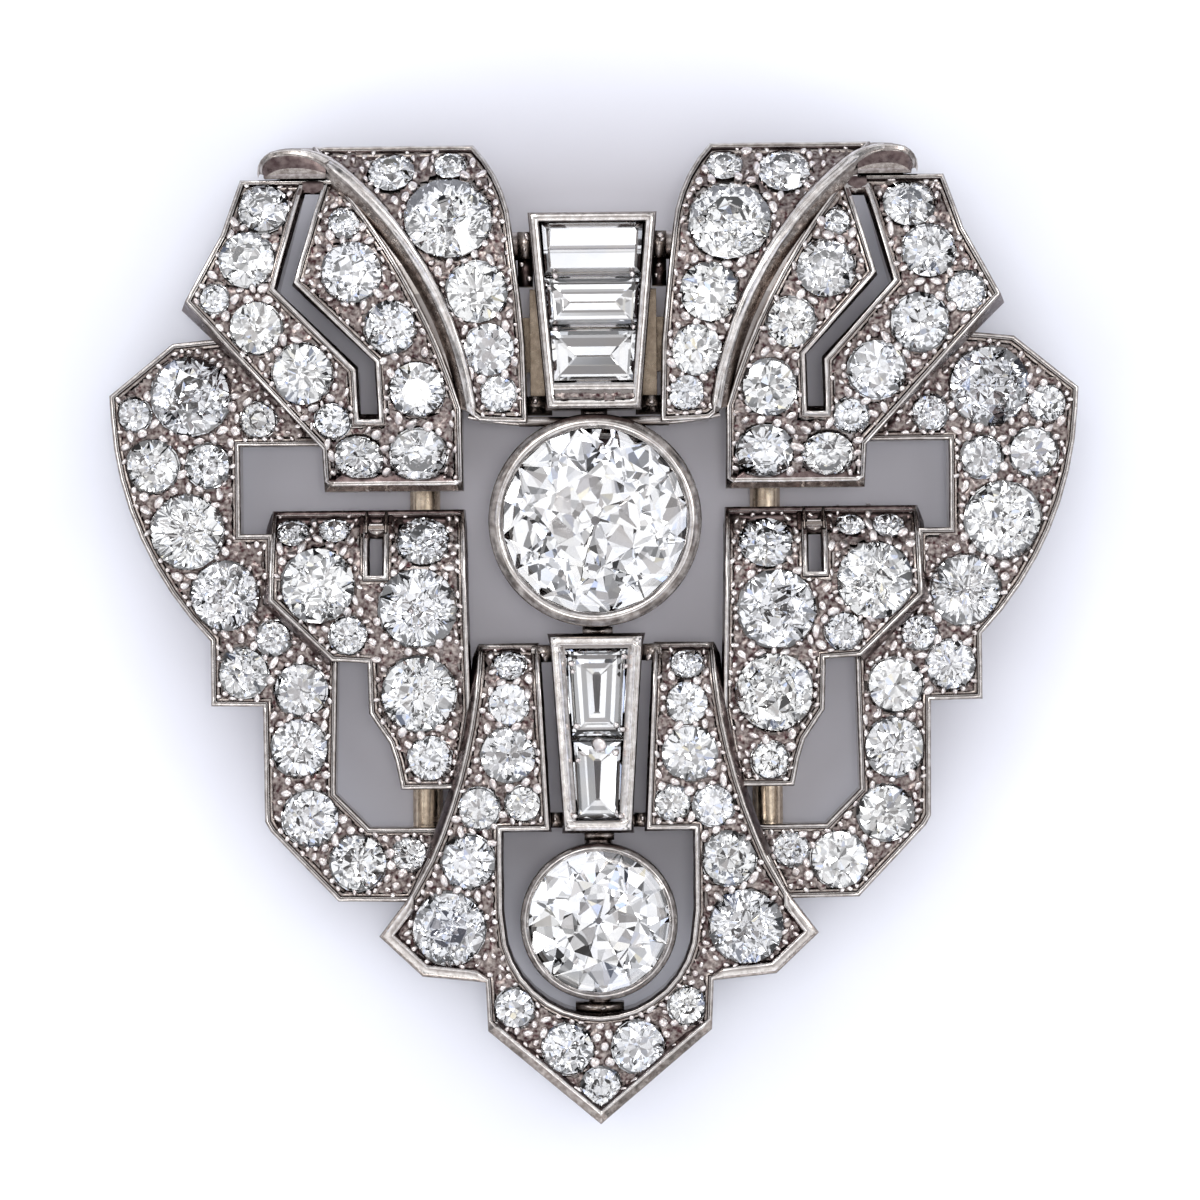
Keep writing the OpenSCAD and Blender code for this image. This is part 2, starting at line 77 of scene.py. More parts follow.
# Boxes of baguettes: half of the width at the top and bottom, y of the top and bottom
TOP_BAR = (2.85, 2.08, 18.9, 10.1)
LOW_BAR = (2.06, 1.5, -0.2, -8.95)
BAGUETTES = {
    "baguette_top_1": (2.33, 2.17, 18.42, 16.18, TOP_BAR_Z),
    "baguette_top_2": (2.15, 1.99, 15.98, 13.82, TOP_BAR_Z),
    "baguette_top_3": (1.98, 1.81, 13.62, 11.3, TOP_BAR_Z),
    "baguette_low_1": (1.37, 1.15, -0.8, -4.72, LOW_BAR_Z),
    "baguette_low_2": (1.13, 0.94, -4.92, -8.45, LOW_BAR_Z),
}
BAGUETTE_DROP = 0.4


def arc(a, m, b, n):
    """Points on the arc from a through m to b in n steps, both ends included."""
    k = 2 * (a[0] * (m[1] - b[1]) + m[0] * (b[1] - a[1]) + b[0] * (a[1] - m[1]))
    sq = [p[0] ** 2 + p[1] ** 2 for p in (a, m, b)]
    cx = (sq[0] * (m[1] - b[1]) + sq[1] * (b[1] - a[1]) + sq[2] * (a[1] - m[1])) / k
    cy = (sq[0] * (b[0] - m[0]) + sq[1] * (a[0] - b[0]) + sq[2] * (m[0] - a[0])) / k
    left = (m[0] - a[0]) * (b[1] - a[1]) - (m[1] - a[1]) * (b[0] - a[0]) > 0
    start = math.atan2(a[1] - cy, a[0] - cx)
    turn = (math.atan2(b[1] - cy, b[0] - cx) - start) % math.tau
    if not left:
        turn -= math.tau
    r = math.hypot(a[0] - cx, a[1] - cy)
    angles = [start + turn * i / n for i in range(n + 1)]
    return [(cx + r * math.cos(a), cy + r * math.sin(a)) for a in angles]


# Outlines of the right half, anticlockwise, as in the CAD
FAN = [(6, 6.5), (12.3, 6.5), (12.35, 8.42), (18.4, 15.1), (16.8, 18.15), (16, 20.7)] + arc(
    (11.6, 20.7), (8.75, 16.6), (6, 10.2), 9)
LEFT_FAN_SLOT = [(12.25, 20.4), (13.5, 15.9), (9.83, 12.28), (9.72, 9.72), (10.66, 9.72), (10.74, 11.98),
                 (14.38, 15.65), (13.12, 20.4)]
RIGHT_FAN_SLOT = [(11.68, 20.1), (12.8, 16.15), (9.55, 12.45), (9.62, 9.9), (10.5, 9.9), (10.42, 12.25),
                  (13.6, 15.8), (12.45, 20.1)]
RIDGE = arc((5.75, 10.05), (7.85, 16.3), (12.1, 21.3), 10)
SCROLL = [(3.02, 9.5), (5.2, 9.6)] + RIDGE + [(12.7, HALF_H)] + arc(
    (5.4, HALF_H), (4.2, 20.4), (3.65, 18.2), 5) + [(3.3, 15.2), (3.1, 13)]
WING = [(14.9, -8.95), (15.15, -8.5), (15.2, -3.25), (17.55, -3.2)] + arc(
    (17.55, -0.25), (21, 5.2), (22, 9.95), 8) + [
    (22.05, 10.95), (19.15, 13.3), (16.6, 13.55), (12, 8.6), (16.15, 8.6), (16.15, 4.6),
    (14.7, 4.6), (14.7, 1.65), (11.8, -1.1), (11.95, -7.25), (10.4, -8.82), (6.9, -8.85),
    (8.5, -12.2), (11.85, -12.15)]
MID = [(6.4, -7.05), (8.9, -7.05), (9.15, -5.8), (9.42, -4.95), (10.32, -3.6), (10.38, -1.3), (12, -1.2),
       (14.85, 1.55), (14.75, 5.65), (5.95, 5.65), (5.8, -1), (5.72, -3.6), (6.1, -5.8)]
MID_SLOT = [(9.62, 2.65), (10.36, 2.65), (10.36, 4.75), (9.62, 4.75)]
DROP_RIGHT = [(5.05, -18), (5.15, -15.8), (8, -15.5), (9.93, -13.68), (8.5, -11.8)] + arc(
    (7.6, -10.2), (6.15, -6), (5.35, -0.5), 8)
DROP_INNER = [(2.62, -0.5), (2.2, -8.95), (4.38, -8.95), (4.38, -12.6)] + arc(
    (4.2, -14.1), (0, -17.4), (-4.2, -14.1), 14) + [
    (-4.38, -12.6), (-4.38, -8.95), (-2.2, -8.95), (-2.62, -0.5)]


def mirrored(pts):
    return [(-x, y) for x, y in reversed(pts)]


DROP = [(0, -HALF_H)] + DROP_RIGHT + DROP_INNER + mirrored(DROP_RIGHT)


def inset(pts, d):
    """A closed anticlockwise outline with its sides moved inwards by d: one number, or one per corner."""
    p = np.array(pts, float)
    side = np.roll(p, -1, 0) - p
    side /= np.linalg.norm(side, axis=1)[:, None]
    left = np.stack([-side[:, 1], side[:, 0]], 1)
    before = np.roll(left, 1, 0)
    step = (before + left) / (1 + (before * left).sum(1))[:, None]
    return p + step * (np.asarray(d, float).reshape(-1, 1) if np.ndim(d) else d)


def divided(pts, longest):
    """The closed outline with points added so that no side is longer than that."""
    out = []
    for a, b in zip(pts, pts[1:] + pts[:1]):
        n = max(1, math.ceil(math.dist(a, b) / longest))
        out += [(a[0] + (b[0] - a[0]) * i / n, a[1] + (b[1] - a[1]) * i / n) for i in range(n)]
    return out


STEEPEST = 0.95  # sine of the steepest place on a rolled surface


def on_top(top, x, y, lift):
    """The point lift above a rolled surface at that y, square to it."""
    over = y - top[1] if y > top[1] else min(0.0, y - top[0])
    a = math.asin(max(-STEEPEST, min(STEEPEST, over / top[3])))
    return (x, y + lift * math.sin(a), top[2] - top[3] * (1 - math.cos(a)) + lift * math.cos(a))


def signed_distance(points, outline):
    """Distance of each point from the outline, positive inside."""
    a = np.array(outline, float)
    b = np.roll(a, -1, 0)
    best = np.full(len(points), np.inf)
    inside = np.zeros(len(points), bool)
    for p, q in zip(a, b):
        side = q - p
        t = np.clip(((points - p) @ side) / (side @ side), 0, 1)
        best = np.minimum(best, np.linalg.norm(points - p - t[:, None] * side, axis=1))
        if p[1] != q[1]:
            crosses = ((p[1] > points[:, 1]) != (q[1] > points[:, 1])) & (
                points[:, 0] < (q[0] - p[0]) * (points[:, 1] - p[1]) / (q[1] - p[1]) + p[0])
            inside ^= crosses
    return np.where(inside, best, -best)


def from_edges(points, outline, slots):
    """Distance of each point from the outline and the slots, positive on the metal."""
    return np.min([signed_distance(points, outline)] + [-signed_distance(points, s) for s in slots], axis=0)


# Materials: sizes of their patterns, and the index that bends light in a diamond
POLISH_TO_WEAR = 1.7
SCRATCH_SIZE = 0.07
SCRATCH_STRETCH = (1, 0.15, 1)
SCRATCH_DEPTH = 0.02
DIAMOND_IOR = 2.42
DIAMOND_CLOUD = 1.1


def new_material(name):
    m = bpy.data.materials.new(name)
    m.use_nodes = True
    return m, m.node_tree.nodes, m.node_tree.links, m.node_tree.nodes["Principled BSDF"]


def new_node(nodes, kind, **inputs):
    """A shader node with these values on its inputs."""
    node = nodes.new("ShaderNode" + kind)
    for name, value in inputs.items():
        node.inputs[name].default_value = value
    return node


def noise_node(nodes, links, size, detail, stretch=(1, 1, 1)):
    """A noise over the object's own coordinates, with features of that size in millimetres."""
    coord = new_node(nodes, "TexCoord")
    mapping = new_node(nodes, "Mapping", Scale=stretch)
    tex = new_node(nodes, "TexNoise", Scale=1 / (size * MM), Detail=detail)
    links.new(coord.outputs["Object"], mapping.inputs["Vector"])
    links.new(mapping.outputs["Vector"], tex.inputs["Vector"])
    return tex.outputs["Fac"]


def ramp(nodes, links, value, stops):
    node = new_node(nodes, "ValToRGB")
    elements = node.color_ramp.elements
    elements[0].position = stops[0][0]
    elements[1].position = stops[-1][0]
    for place, colour in stops[1:-1]:
        elements.new(place)
    for element, (place, colour) in zip(elements, stops):
        element.color = (*colour, 1)
    links.new(value, node.inputs["Fac"])
    return node.outputs["Color"]


def grey(v):
    return (v, v, v)


def mixed(nodes, links, blend, a, b, factor=None):
    """Two colours mixed; a may be a plain one."""
    mix = new_node(nodes, "Mix")
    mix.data_type = "RGBA"
    mix.blend_type = blend
    mix.inputs["Factor"].default_value = 1.0
    if factor is not None:
        links.new(factor, mix.inputs["Factor"])
    if isinstance(a, tuple):
        mix.inputs["A"].default_value = (*a, 1)
    else:
        links.new(a, mix.inputs["A"])
    links.new(b, mix.inputs["B"])
    return mix.outputs["Result"]


def metal(name, light, dark, grime_and_painted_shade, rough, hollow=0.6, edge=0.0, bump=0.12, wear=0.35):
    """Polished metal: cloudy polish, fine scratches, grime and painted shade where surfaces crowd, and soft
    edges.
    """
    m, nodes, links, shader = new_material(name)
    shader.inputs["Metallic"].default_value = 1.0
    cloud = ramp(nodes, links, noise_node(nodes, links, wear, 4), [(0.35, dark), (0.65, light)])
    # painted shade: where ambient occlusion finds surfaces close by, the base colour goes towards the dark
    # grime colour, for grime and shade both
    crowd = new_node(nodes, "AmbientOcclusion", Distance=hollow * MM)
    crowd.samples = 6
    shade = ramp(nodes, links, crowd.outputs["AO"], [(0.15, grey(0)), (0.75, grey(1))])
    links.new(mixed(nodes, links, "MIX", grime_and_painted_shade, cloud, shade), shader.inputs["Base Color"])
    polish = ramp(nodes, links, noise_node(nodes, links, wear * POLISH_TO_WEAR, 3),
                  [(0.3, grey(rough[0])), (0.7, grey(rough[1]))])
    links.new(polish, shader.inputs["Roughness"])
    scratch = noise_node(nodes, links, SCRATCH_SIZE, 2, SCRATCH_STRETCH)
    dent = new_node(nodes, "Bump", Strength=bump, Distance=SCRATCH_DEPTH * MM)
    links.new(scratch, dent.inputs["Height"])
    if edge:
        soft = new_node(nodes, "Bevel", Radius=edge * MM)
        soft.samples = 4
        links.new(soft.outputs["Normal"], dent.inputs["Normal"])
    links.new(dent.outputs["Normal"], shader.inputs["Normal"])
    return m


def diamond(name, tints, cloud=0.0):
    """Clear stone: each stone of a field has its own faint tint, or a single stone has clouds of them."""
    m, nodes, links, shader = new_material(name)
    shader.inputs["Roughness"].default_value = 0.0
    shader.inputs["IOR"].default_value = DIAMOND_IOR
    shader.inputs["Transmission Weight"].default_value = 1.0
    if cloud:
        value, first, last = noise_node(nodes, links, cloud, 1), 0.36, 0.64
    else:
        value, first, last = new_node(nodes, "NewGeometry").outputs["Random Per Island"], 0.0, 1.0
    stops = [(first + (last - first) * i / (len(tints) - 1), t) for i, t in enumerate(tints)]
    links.new(ramp(nodes, links, value, stops), shader.inputs["Base Color"])
    return m


PLATINUM = metal("platinum_polished", (0.57, 0.535, 0.515), (0.50, 0.465, 0.44),
                 (0.08, 0.05, 0.04), (0.12, 0.26), hollow=0.9, edge=0.05, wear=1.1)
# a lighter copy of the platinum for crests and bright lines: painted highlight
CREST_PAINTED_HIGHLIGHT = metal("platinum_crest_painted_highlight", (0.79, 0.755, 0.73), (0.57, 0.525, 0.495),
                    (0.16, 0.11, 0.09), (0.1, 0.22), hollow=0.2)
# a dimmer copy of the platinum for the dull bands of edges: painted shade
EDGE_PAINTED_SHADE = metal("platinum_edge_painted_shade", (0.42, 0.385, 0.36), (0.2, 0.17, 0.155),
                   (0.07, 0.045, 0.04), (0.12, 0.26), hollow=0.3)
# a dimmer, browner copy of the platinum for bevels: painted shade
BEVEL_PAINTED_SHADE = metal("platinum_bevel_painted_shade", (0.55, 0.495, 0.455), (0.29, 0.24, 0.215),
                    (0.04, 0.022, 0.02), (0.14, 0.3), hollow=0.4, wear=0.22)
# a dark copy of the platinum for walls, hollows and deep ends: painted shade
WALL_PAINTED_SHADE = metal("platinum_wall_painted_shade", (0.22, 0.17, 0.16), (0.09, 0.06, 0.06),
                   (0.015, 0.008, 0.008), (0.2, 0.4), hollow=0.8)
# a much lighter copy of the platinum for grains and beads: painted highlight
GRAIN_PAINTED_HIGHLIGHT = metal("platinum_grain_painted_highlight", (0.94, 0.895, 0.875), (0.71, 0.63, 0.61),
                    (0.14, 0.08, 0.075), (0.2, 0.34), hollow=0.12)
# a darker, reddish copy of the platinum, clouded at random, for the cut ground between the stones: painted
# shade
GROUND_PAINTED_SHADE = metal("platinum_ground_painted_shade", (0.40, 0.35, 0.325), (0.06, 0.028, 0.03),
                     (0.012, 0.003, 0.005), (0.24, 0.42), hollow=0.5, wear=0.2)
GOLD = metal("gold_polished", (0.72, 0.60, 0.46), (0.50, 0.40, 0.30),
             (0.05, 0.03, 0.02), (0.16, 0.32), edge=0.06)
SMALL_DIAMOND = diamond("diamond_small", [
    (0.95, 0.95, 0.955), (0.81, 0.82, 0.845), (0.72, 0.72, 0.725), (0.88, 0.88, 0.865), (0.83, 0.835, 0.855)])
LARGE_DIAMOND = diamond("diamond_large", [
    (0.94, 0.955, 1.0), (0.995, 0.995, 1.0), (1.0, 0.99, 0.965)], DIAMOND_CLOUD)
STEP_DIAMOND = diamond("diamond_step", [
    (0.94, 0.96, 1.0), (0.985, 0.99, 1.0), (1.0, 0.995, 0.985)], DIAMOND_CLOUD)


def new_object(name, data):
    obj = bpy.data.objects.new(name, data)
    scene.collection.objects.link(obj)
    return obj


def make_piece(name, bm, materials, slot, smooth):
    """Turns a bmesh in millimetres into a piece; stones come with their faces outwards already."""
    mesh = bpy.data.meshes.new(name)
    for v in bm.verts:
        v.co *= MM
    if slot != "diamond":
        bmesh.ops.recalc_face_normals(bm, faces=bm.faces)
    bm.to_mesh(mesh)
    bm.free()
    for f in mesh.polygons:
        f.use_smooth = smooth
    for m in materials:
        mesh.materials.append(m)
    obj = new_object(name, mesh)
    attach(obj, "root")
    return obj


# Stones: half of the girdle's height as a share of the diameter; where the facets that are cut again end, as
# a share of the depth; half of the angle between two main facets; how uneven corners move along x, y and z
GIRDLE = 0.012
DEEPEST_AGAIN = 0.97
HALF_STEP = 22.5
UNEVEN_SHAPE = Vector((1, 1, 0.4))
TINY = 1e-4


def ring(bm, n, r, z, first=0.0):
    """n vertices round the z axis, from the angle first in degrees."""
    turns = [math.radians(first) + math.tau * i / n for i in range(n)]
    return [bm.verts.new((r * math.cos(a), r * math.sin(a), z)) for a in turns]


def round_stone(bm, d, place, rng, table, crown, pavilion, lower, star, culet, uneven,
                facets=0.0, again=0.5):
    """An old-cut round stone of diameter d, girdle at z = 0: table, 8 stars, 8 bezels, 32 girdle facets,
    8 mains and a small culet facet, all a little uneven as cut by hand. again is the share of the
    pavilion's facets that are cut again, and facets is by how much, as a share of d."""
    n = 8
    r = d / 2
    edge = GIRDLE * d
    half = math.cos(math.radians(HALF_STEP))
    start, first_face = len(bm.verts), len(bm.faces)
    rt, rs, rl, rc = r * table, r * star, r * lower, r * culet
    zc = d * crown
    zp = d * pavilion
    top = ring(bm, n, rt, zc + edge)
    stars = ring(bm, n, rs, zc * (r - rs * half) / (r - rt) + edge, HALF_STEP)
    up = ring(bm, 2 * n, r, edge)
    down = ring(bm, 2 * n, r, -edge)
    low = ring(bm, n, rl, -zp * (1 - rl * half / r) - edge, HALF_STEP)
    tip = ring(bm, n, rc, -zp * (1 - rc * half / r) - edge, HALF_STEP)
    inner = tip
    if facets:
        ri = (rl + rc) / 2
        inner = ring(bm, n, ri, -zp * (1 - ri * half / r) - edge, HALF_STEP)
    bm.faces.new(top)
    for i in range(n):
        j, h = (i + 1) % n, (i - 1) % n
        bm.faces.new((top[i], stars[i], top[j]))
        bm.faces.new((top[i], stars[h], up[2 * i], stars[i]))
        bm.faces.new((stars[i], up[2 * i], up[2 * i + 1]))
        bm.faces.new((stars[i], up[2 * i + 1], up[2 * j]))
        bm.faces.new((low[i], down[2 * i + 1], down[2 * i]))
        bm.faces.new((low[i], down[2 * j], down[2 * i + 1]))
        bm.faces.new((down[2 * i], low[h], inner[h], inner[i], low[i]))
        if facets:
            bm.faces.new((inner[h], tip[h], tip[i], inner[i]))
    for i in range(2 * n):
        j = (i + 1) % (2 * n)
        bm.faces.new((up[i], down[i], down[j], up[j]))
    bm.faces.new(list(reversed(tip)))
    bm.verts.ensure_lookup_table()
    for v in bm.verts[start:]:
        if up[0].co.z < v.co.z < top[0].co.z or low[0].co.z + TINY > v.co.z > tip[0].co.z:
            v.co += Vector([rng.gauss(0, uneven * d) for _ in range(3)]) * UNEVEN_SHAPE
    bm.faces.ensure_lookup_table()
    bmesh.ops.recalc_face_normals(bm, faces=bm.faces[first_face:])
    if facets:
        deepest = -zp * DEEPEST_AGAIN
        for f in [f for f in bm.faces[first_face:] if deepest < f.calc_center_median().z < -2 * edge]:
            if rng.random() < again:
                outwards_by = f.normal * rng.gauss(0, facets * d)
                for v in bmesh.ops.poke(bm, faces=[f])["verts"]:
                    v.co += outwards_by
        bm.verts.ensure_lookup_table()
    for v in bm.verts[start:]:
        v.co = place @ v.co


WELD = 0.002


def stones_of(node):
    """Middle, diameter and up direction of each round stone in a CAD node, in millimetres."""
    bm = bmesh.new()
    bm.from_mesh(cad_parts[node].data)
    bmesh.ops.remove_doubles(bm, verts=bm.verts, dist=WELD * MM)
    left = set(bm.verts)
    found = []
    while left:
        group, fresh = set(), {left.pop()}
        while fresh:
            group |= fresh
            fresh = {e.other_vert(v) for v in fresh for e in v.link_edges} - group
        left -= group
        culet = max(group, key=lambda v: len(v.link_edges))
        girdle = [e.other_vert(culet).co for e in culet.link_edges]
        middle = sum(girdle, Vector()) / len(girdle)
        d = 2 * sum((g - middle).length for g in girdle) / len(girdle)
        found.append((middle / MM, d / MM, (middle - culet.co).normalized()))
    bm.free()
    return sorted(found, key=lambda s: (round(s[0].x, 3), round(s[0].y, 3)))


# Small stones: how much wider than in the CAD one may be, its gap to the next one, its reach under the rim,
# the diameter from which it has finer facets, how uneven they are, and the ranges of its cut
STONE_SPREAD = 0.26
STONE_GAP = 0.01
RIM_OVERLAP = 0.07
BIG_STONE = 2.9
BIG_FACETS = 0.003
SMALL_UNEVEN = 0.021
SMALL_TILT = 0.035
SMALL_CUT = {"table": (0.42, 0.54), "crown": (0.13, 0.165), "pavilion": (0.39, 0.46), "lower": (0.22, 0.45),
             "star": (0.7, 0.8), "culet": (0.02, 0.06)}


def widened(stones, outline, slots):
    """The stones, each as wide as its neighbours and the edges leave room for."""
    edge = from_edges(np.array([middle.xy for middle, d, up in stones]), outline, slots)
    out = []
    for k, (middle, d, up) in enumerate(stones):
        room = 2 * (edge[k] - RIM_W + RIM_OVERLAP) - d
        for other, other_d, other_up in stones[:k] + stones[k + 1:]:
            room = min(room, (middle - other).length - (d + other_d) / 2 - STONE_GAP)
        out.append((middle, d + max(0.0, min(STONE_SPREAD, room)), up))
    return out


def cut_field(node, seed, outline, slots):
    """The small stones of one CAD node, each a little turned and tilted by hand."""
    rng = random.Random(seed)
    bm = bmesh.new()
    stones = widened(stones_of(node), outline, slots)
    for middle, d, up in stones:
        lean = Vector((rng.gauss(0, SMALL_TILT), rng.gauss(0, SMALL_TILT), 0))
        turn = (up + lean).normalized().to_track_quat("Z", "Y").to_matrix().to_4x4()
        place = Matrix.Translation(middle) @ turn @ Matrix.Rotation(rng.uniform(0, math.tau), 4, "Z")
        cut = {name: rng.uniform(*limits) for name, limits in SMALL_CUT.items()}
        finer = BIG_FACETS if d > BIG_STONE else 0.0
        round_stone(bm, d, place, rng, uneven=SMALL_UNEVEN, facets=finer, **cut)
    obj = make_piece(node.replace("stones", "cut_stones"), bm, [SMALL_DIAMOND], "diamond", False)
    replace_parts(obj, node)
    return stones


def tilted(lean):
    """A turn about x and then y, in degrees."""
    return Matrix.Rotation(math.radians(lean[0]), 4, "X") @ Matrix.Rotation(math.radians(lean[1]), 4, "Y")


def cut_large(node, name, turn, lean, **cut):
    """One of the two large stones, where the CAD has it."""
    lo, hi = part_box(node)
    d = (hi.x - lo.x) / MM
    girdle_z = hi.z / MM - d * cut["crown"]
    bm = bmesh.new()
    middle = Vector(((hi.x + lo.x) / 2 / MM, (hi.y + lo.y) / 2 / MM, girdle_z))
    place = Matrix.Translation(middle) @ tilted(lean) @ Matrix.Rotation(math.radians(turn), 4, "Z")
    round_stone(bm, d, place, random.Random(int(d * 10)), **cut)
    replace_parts(make_piece(name, bm, [LARGE_DIAMOND], "diamond", False), node)


def bar_outline(row):
    return [(-row[1], row[3]), (row[1], row[3]), (row[0], row[2]), (-row[0], row[2])]


# Step-cut stones: how far the crown's levels lie inside the girdle, and their height; the girdle's lower
# edge; for each stone, the pavilion's steps: the share of the half width that each reaches, and its slope
CROWN_STEPS = [(0.3, 0.36), (0.13, 0.25), (0.0, 0.05)]
GIRDLE_LOW = (0.0, -0.04)
PAVILIONS = (
    [(0.33, 48.5), (0.66, 48.4), (0.88, 48.5), (0.975, 46.0)],
    [(0.22, 48.5), (0.33, 45.0), (0.58, 48.5), (0.69, 45.0), (0.975, 48.5)],
    [(0.33, 48.5), (0.66, 45.0), (0.975, 49.0)],
    [(0.2, 46.9), (0.4, 44.8), (0.55, 49.0), (0.75, 44.9), (0.975, 46.7)],
    [(0.33, 48.0), (0.66, 47.8), (0.975, 46.6)])
# How far the pavilion's ends reach inwards, as a share of its long sides, and the lean of each stone
ENDS = (0.3, 1.0, 1.0, 1.0, 1.0)
LEANS = ((0.5, 0.3), (-0.8, 0.4), (1.5, -0.4), (0.4, -0.6), (-0.9, 0.5))
BAGUETTE_SPREAD = 0.075


def step_outline(row, side, end):
    """The tapered outline with its top and bottom moved inwards by side, and its ends by end."""
    half_top, half_low, y_top, y_low = row
    narrowing = (half_top - half_low) * side / (y_top - y_low)
    return bar_outline((half_top - narrowing - end, half_low + narrowing - end, y_top - side,
                        y_low + side))


def cut_baguette(node, row, steps, ends, lean):
    """A step-cut stone: table, crown steps, girdle, the pavilion's steps and a keel along its longer side."""
    half_top, half_low, y_top, y_low, rim_z = row
    girdle = (half_top + BAGUETTE_SPREAD, half_low + BAGUETTE_SPREAD, y_top + BAGUETTE_SPREAD,
              y_low - BAGUETTE_SPREAD)
    half = min(half_low, (y_top - y_low) / 2) + BAGUETTE_SPREAD
    z = rim_z - BAGUETTE_DROP
    levels = CROWN_STEPS + [GIRDLE_LOW]
    for share, slope in steps:
        d, h = levels[-1]
        levels.append((share * half, h - (share * half - d) * math.tan(math.radians(slope))))
    bm = bmesh.new()
    rings = []
    for d, h in levels:
        outline = step_outline(girdle, d, d * (ends if h < GIRDLE_LOW[1] else 1.0))
        rings.append([bm.verts.new((x, y, z + h)) for x, y in outline])
    bm.faces.new(rings[0])
    for a, b in zip(rings, rings[1:]):
        for i in range(4):
            j = (i + 1) % 4
            bm.faces.new((a[i], b[i], b[j], a[j]))
    bm.faces.new(list(reversed(rings[-1])))
    bmesh.ops.recalc_face_normals(bm, faces=bm.faces)
    centre = Vector((0, (y_top + y_low) / 2, z))
    for v in bm.verts:
        v.co = centre + tilted(lean) @ (v.co - centre)
    name = node.replace("baguette", "cut_baguette")
    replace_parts(make_piece(name, bm, [STEP_DIAMOND], "diamond", False), node)


# Metalwork
# Cross-sections of edges: distance inwards from the outline and height above the surface
THIN = [(-0.015, -0.4), (-0.015, -0.03), (0.015, 0.03), (0.05, 0.065), (0.11, 0.045), (0.14, 0.02),
        (0.17, -0.03), (0.2, -0.2)]
SLOT = [(-0.09, -0.5), (-0.02, -0.05), (0.01, 0.05), (0.04, 0.066), (0.14, 0.05), (0.16, 0.02),
        (0.18, -0.03), (0.21, -0.2)]
WIDE = [(-0.015, -0.4), (-0.015, -0.02), (0.04, 0.06), (0.28, 0.12), (0.36, 0.16), (0.44, 0.12),
        (0.48, 0.04), (0.56, -0.2)]
TIP = [(-0.015, -0.4), (-0.015, -0.02), (0.02, 0.01), (0.3, 0.09), (0.34, 0.13), (0.41, 0.11), (0.46, 0.03),
       (0.62, -0.2)]
SHOULDER = [(-0.015, -0.4), (-0.015, -0.02), (0.03, 0.03), (0.12, 0.05), (0.36, 0.1), (0.45, 0.08),
            (0.5, 0.0), (0.62, -0.2)]
LIP = [(-0.015, -0.4), (-0.015, 0.0), (0.03, 0.04), (0.09, 0.1), (0.13, 0.13), (0.17, 0.1), (0.2, 0.02),
       (0.23, -0.12)]
BEVEL = [(0.19, -0.18), (0.25, -0.12), (0.36, -0.2), (0.42, -0.3)]
LOW_SLOT = [(d, min(h, -0.03)) for d, h in SLOT]
# Places of the materials on the piece of rims, and the looks of the bands of a cross-section; BRIGHT bands
# carry a painted highlight, DARK, DULL and BEVELLED bands painted shade, strong to mild
BRIGHT, BEVELLED, DARK, DULL = 0, 1, 2, 3
CRISP = (DULL, DULL, DULL, BRIGHT, DULL, DULL, DARK)
SHADED = (DULL, DARK, BEVELLED, DARK, DARK, DARK, DARK)
SLOPED = (DULL, DULL, BEVELLED, BRIGHT, BRIGHT, BRIGHT, DARK)
RIDGED = (DULL, DULL, BRIGHT, BRIGHT, BRIGHT, DULL, DARK)
BEVELS = (DARK, BEVELLED, DARK)
PIERCED = (DARK, BRIGHT, BRIGHT, BRIGHT, DULL, DARK, DARK)
FADED = (DULL, DULL, DULL, DULL, DULL, BEVELLED, BEVELLED)
# Filed edges: the longest side of their paths, their unevenness, and what is left of it near the outline
RIM_STEP = 0.5
WAVES_PER_MM = 0.9
WAVE_SLICE = 3.1
STEADY = 0.08
STEADY_SHARE = 0.3


def outwards(profile):
    return [(-d, h) for d, h in profile]


def loft(bm, rings, closed, looks):
    """Faces between rings of vertices; looks holds, for each point, a material or one for each band."""
    for band, (a, b) in enumerate(zip(rings, rings[1:])):
        for i in range(len(a) if closed else len(a) - 1):
            j = (i + 1) % len(a)
            look = looks[i][band] if isinstance(looks[i], tuple) else looks[i]
            bm.faces.new((a[i], a[j], b[j], b[i])).material_index = look


def rim(bm, outline, top, shape, wobble=0.02):
    """A rounded edge along a closed outline on a rolled surface, a little uneven as filed by hand.
    shape gives the cross-section and the material at a point of the outline."""
    path = divided(outline, RIM_STEP)
    shapes = [shape(x, y) for x, y in path]
    waver = [wobble * noise.noise(Vector((x * WAVES_PER_MM, y * WAVES_PER_MM, WAVE_SLICE))) for x, y in path]
    rings = []
    for k in range(len(shapes[0][0])):
        d = [profile[k][0] + w * (1 if abs(profile[k][0]) > STEADY else STEADY_SHARE)
             for (profile, look), w in zip(shapes, waver)]
        rings.append([bm.verts.new(on_top(top, x, y, profile[k][1] + (w if profile[k][1] > 0 else 0)))
                      for (x, y), (profile, look), w in zip(inset(path, d), shapes, waver)])
    loft(bm, rings, True, [look for profile, look in shapes])


def always(profile, look):
    return lambda x, y: (profile, look)


def strip(bm, path, top, profile, look, widths=None):
    """A band along an open path; distances in the profile are positive on the left of its direction.
    look is one for the whole band or a list with one for each point."""
    p = np.array(path, float)
    side = np.diff(p, axis=0)
    side /= np.linalg.norm(side, axis=1)[:, None]
    left = np.stack([-side[:, 1], side[:, 0]], 1)
    before, after = np.vstack([left[:1], left]), np.vstack([left, left[-1:]])
    step = (before + after) / (1 + (before * after).sum(1))[:, None]
    scale = np.array(widths or [1.0] * len(p))
    rings = []
    for d, h in profile:
        rings.append([bm.verts.new(on_top(top, x, y, h)) for x, y in p + step * (d * scale)[:, None]])
    loft(bm, rings, False, look if isinstance(look, list) else [look] * len(p))


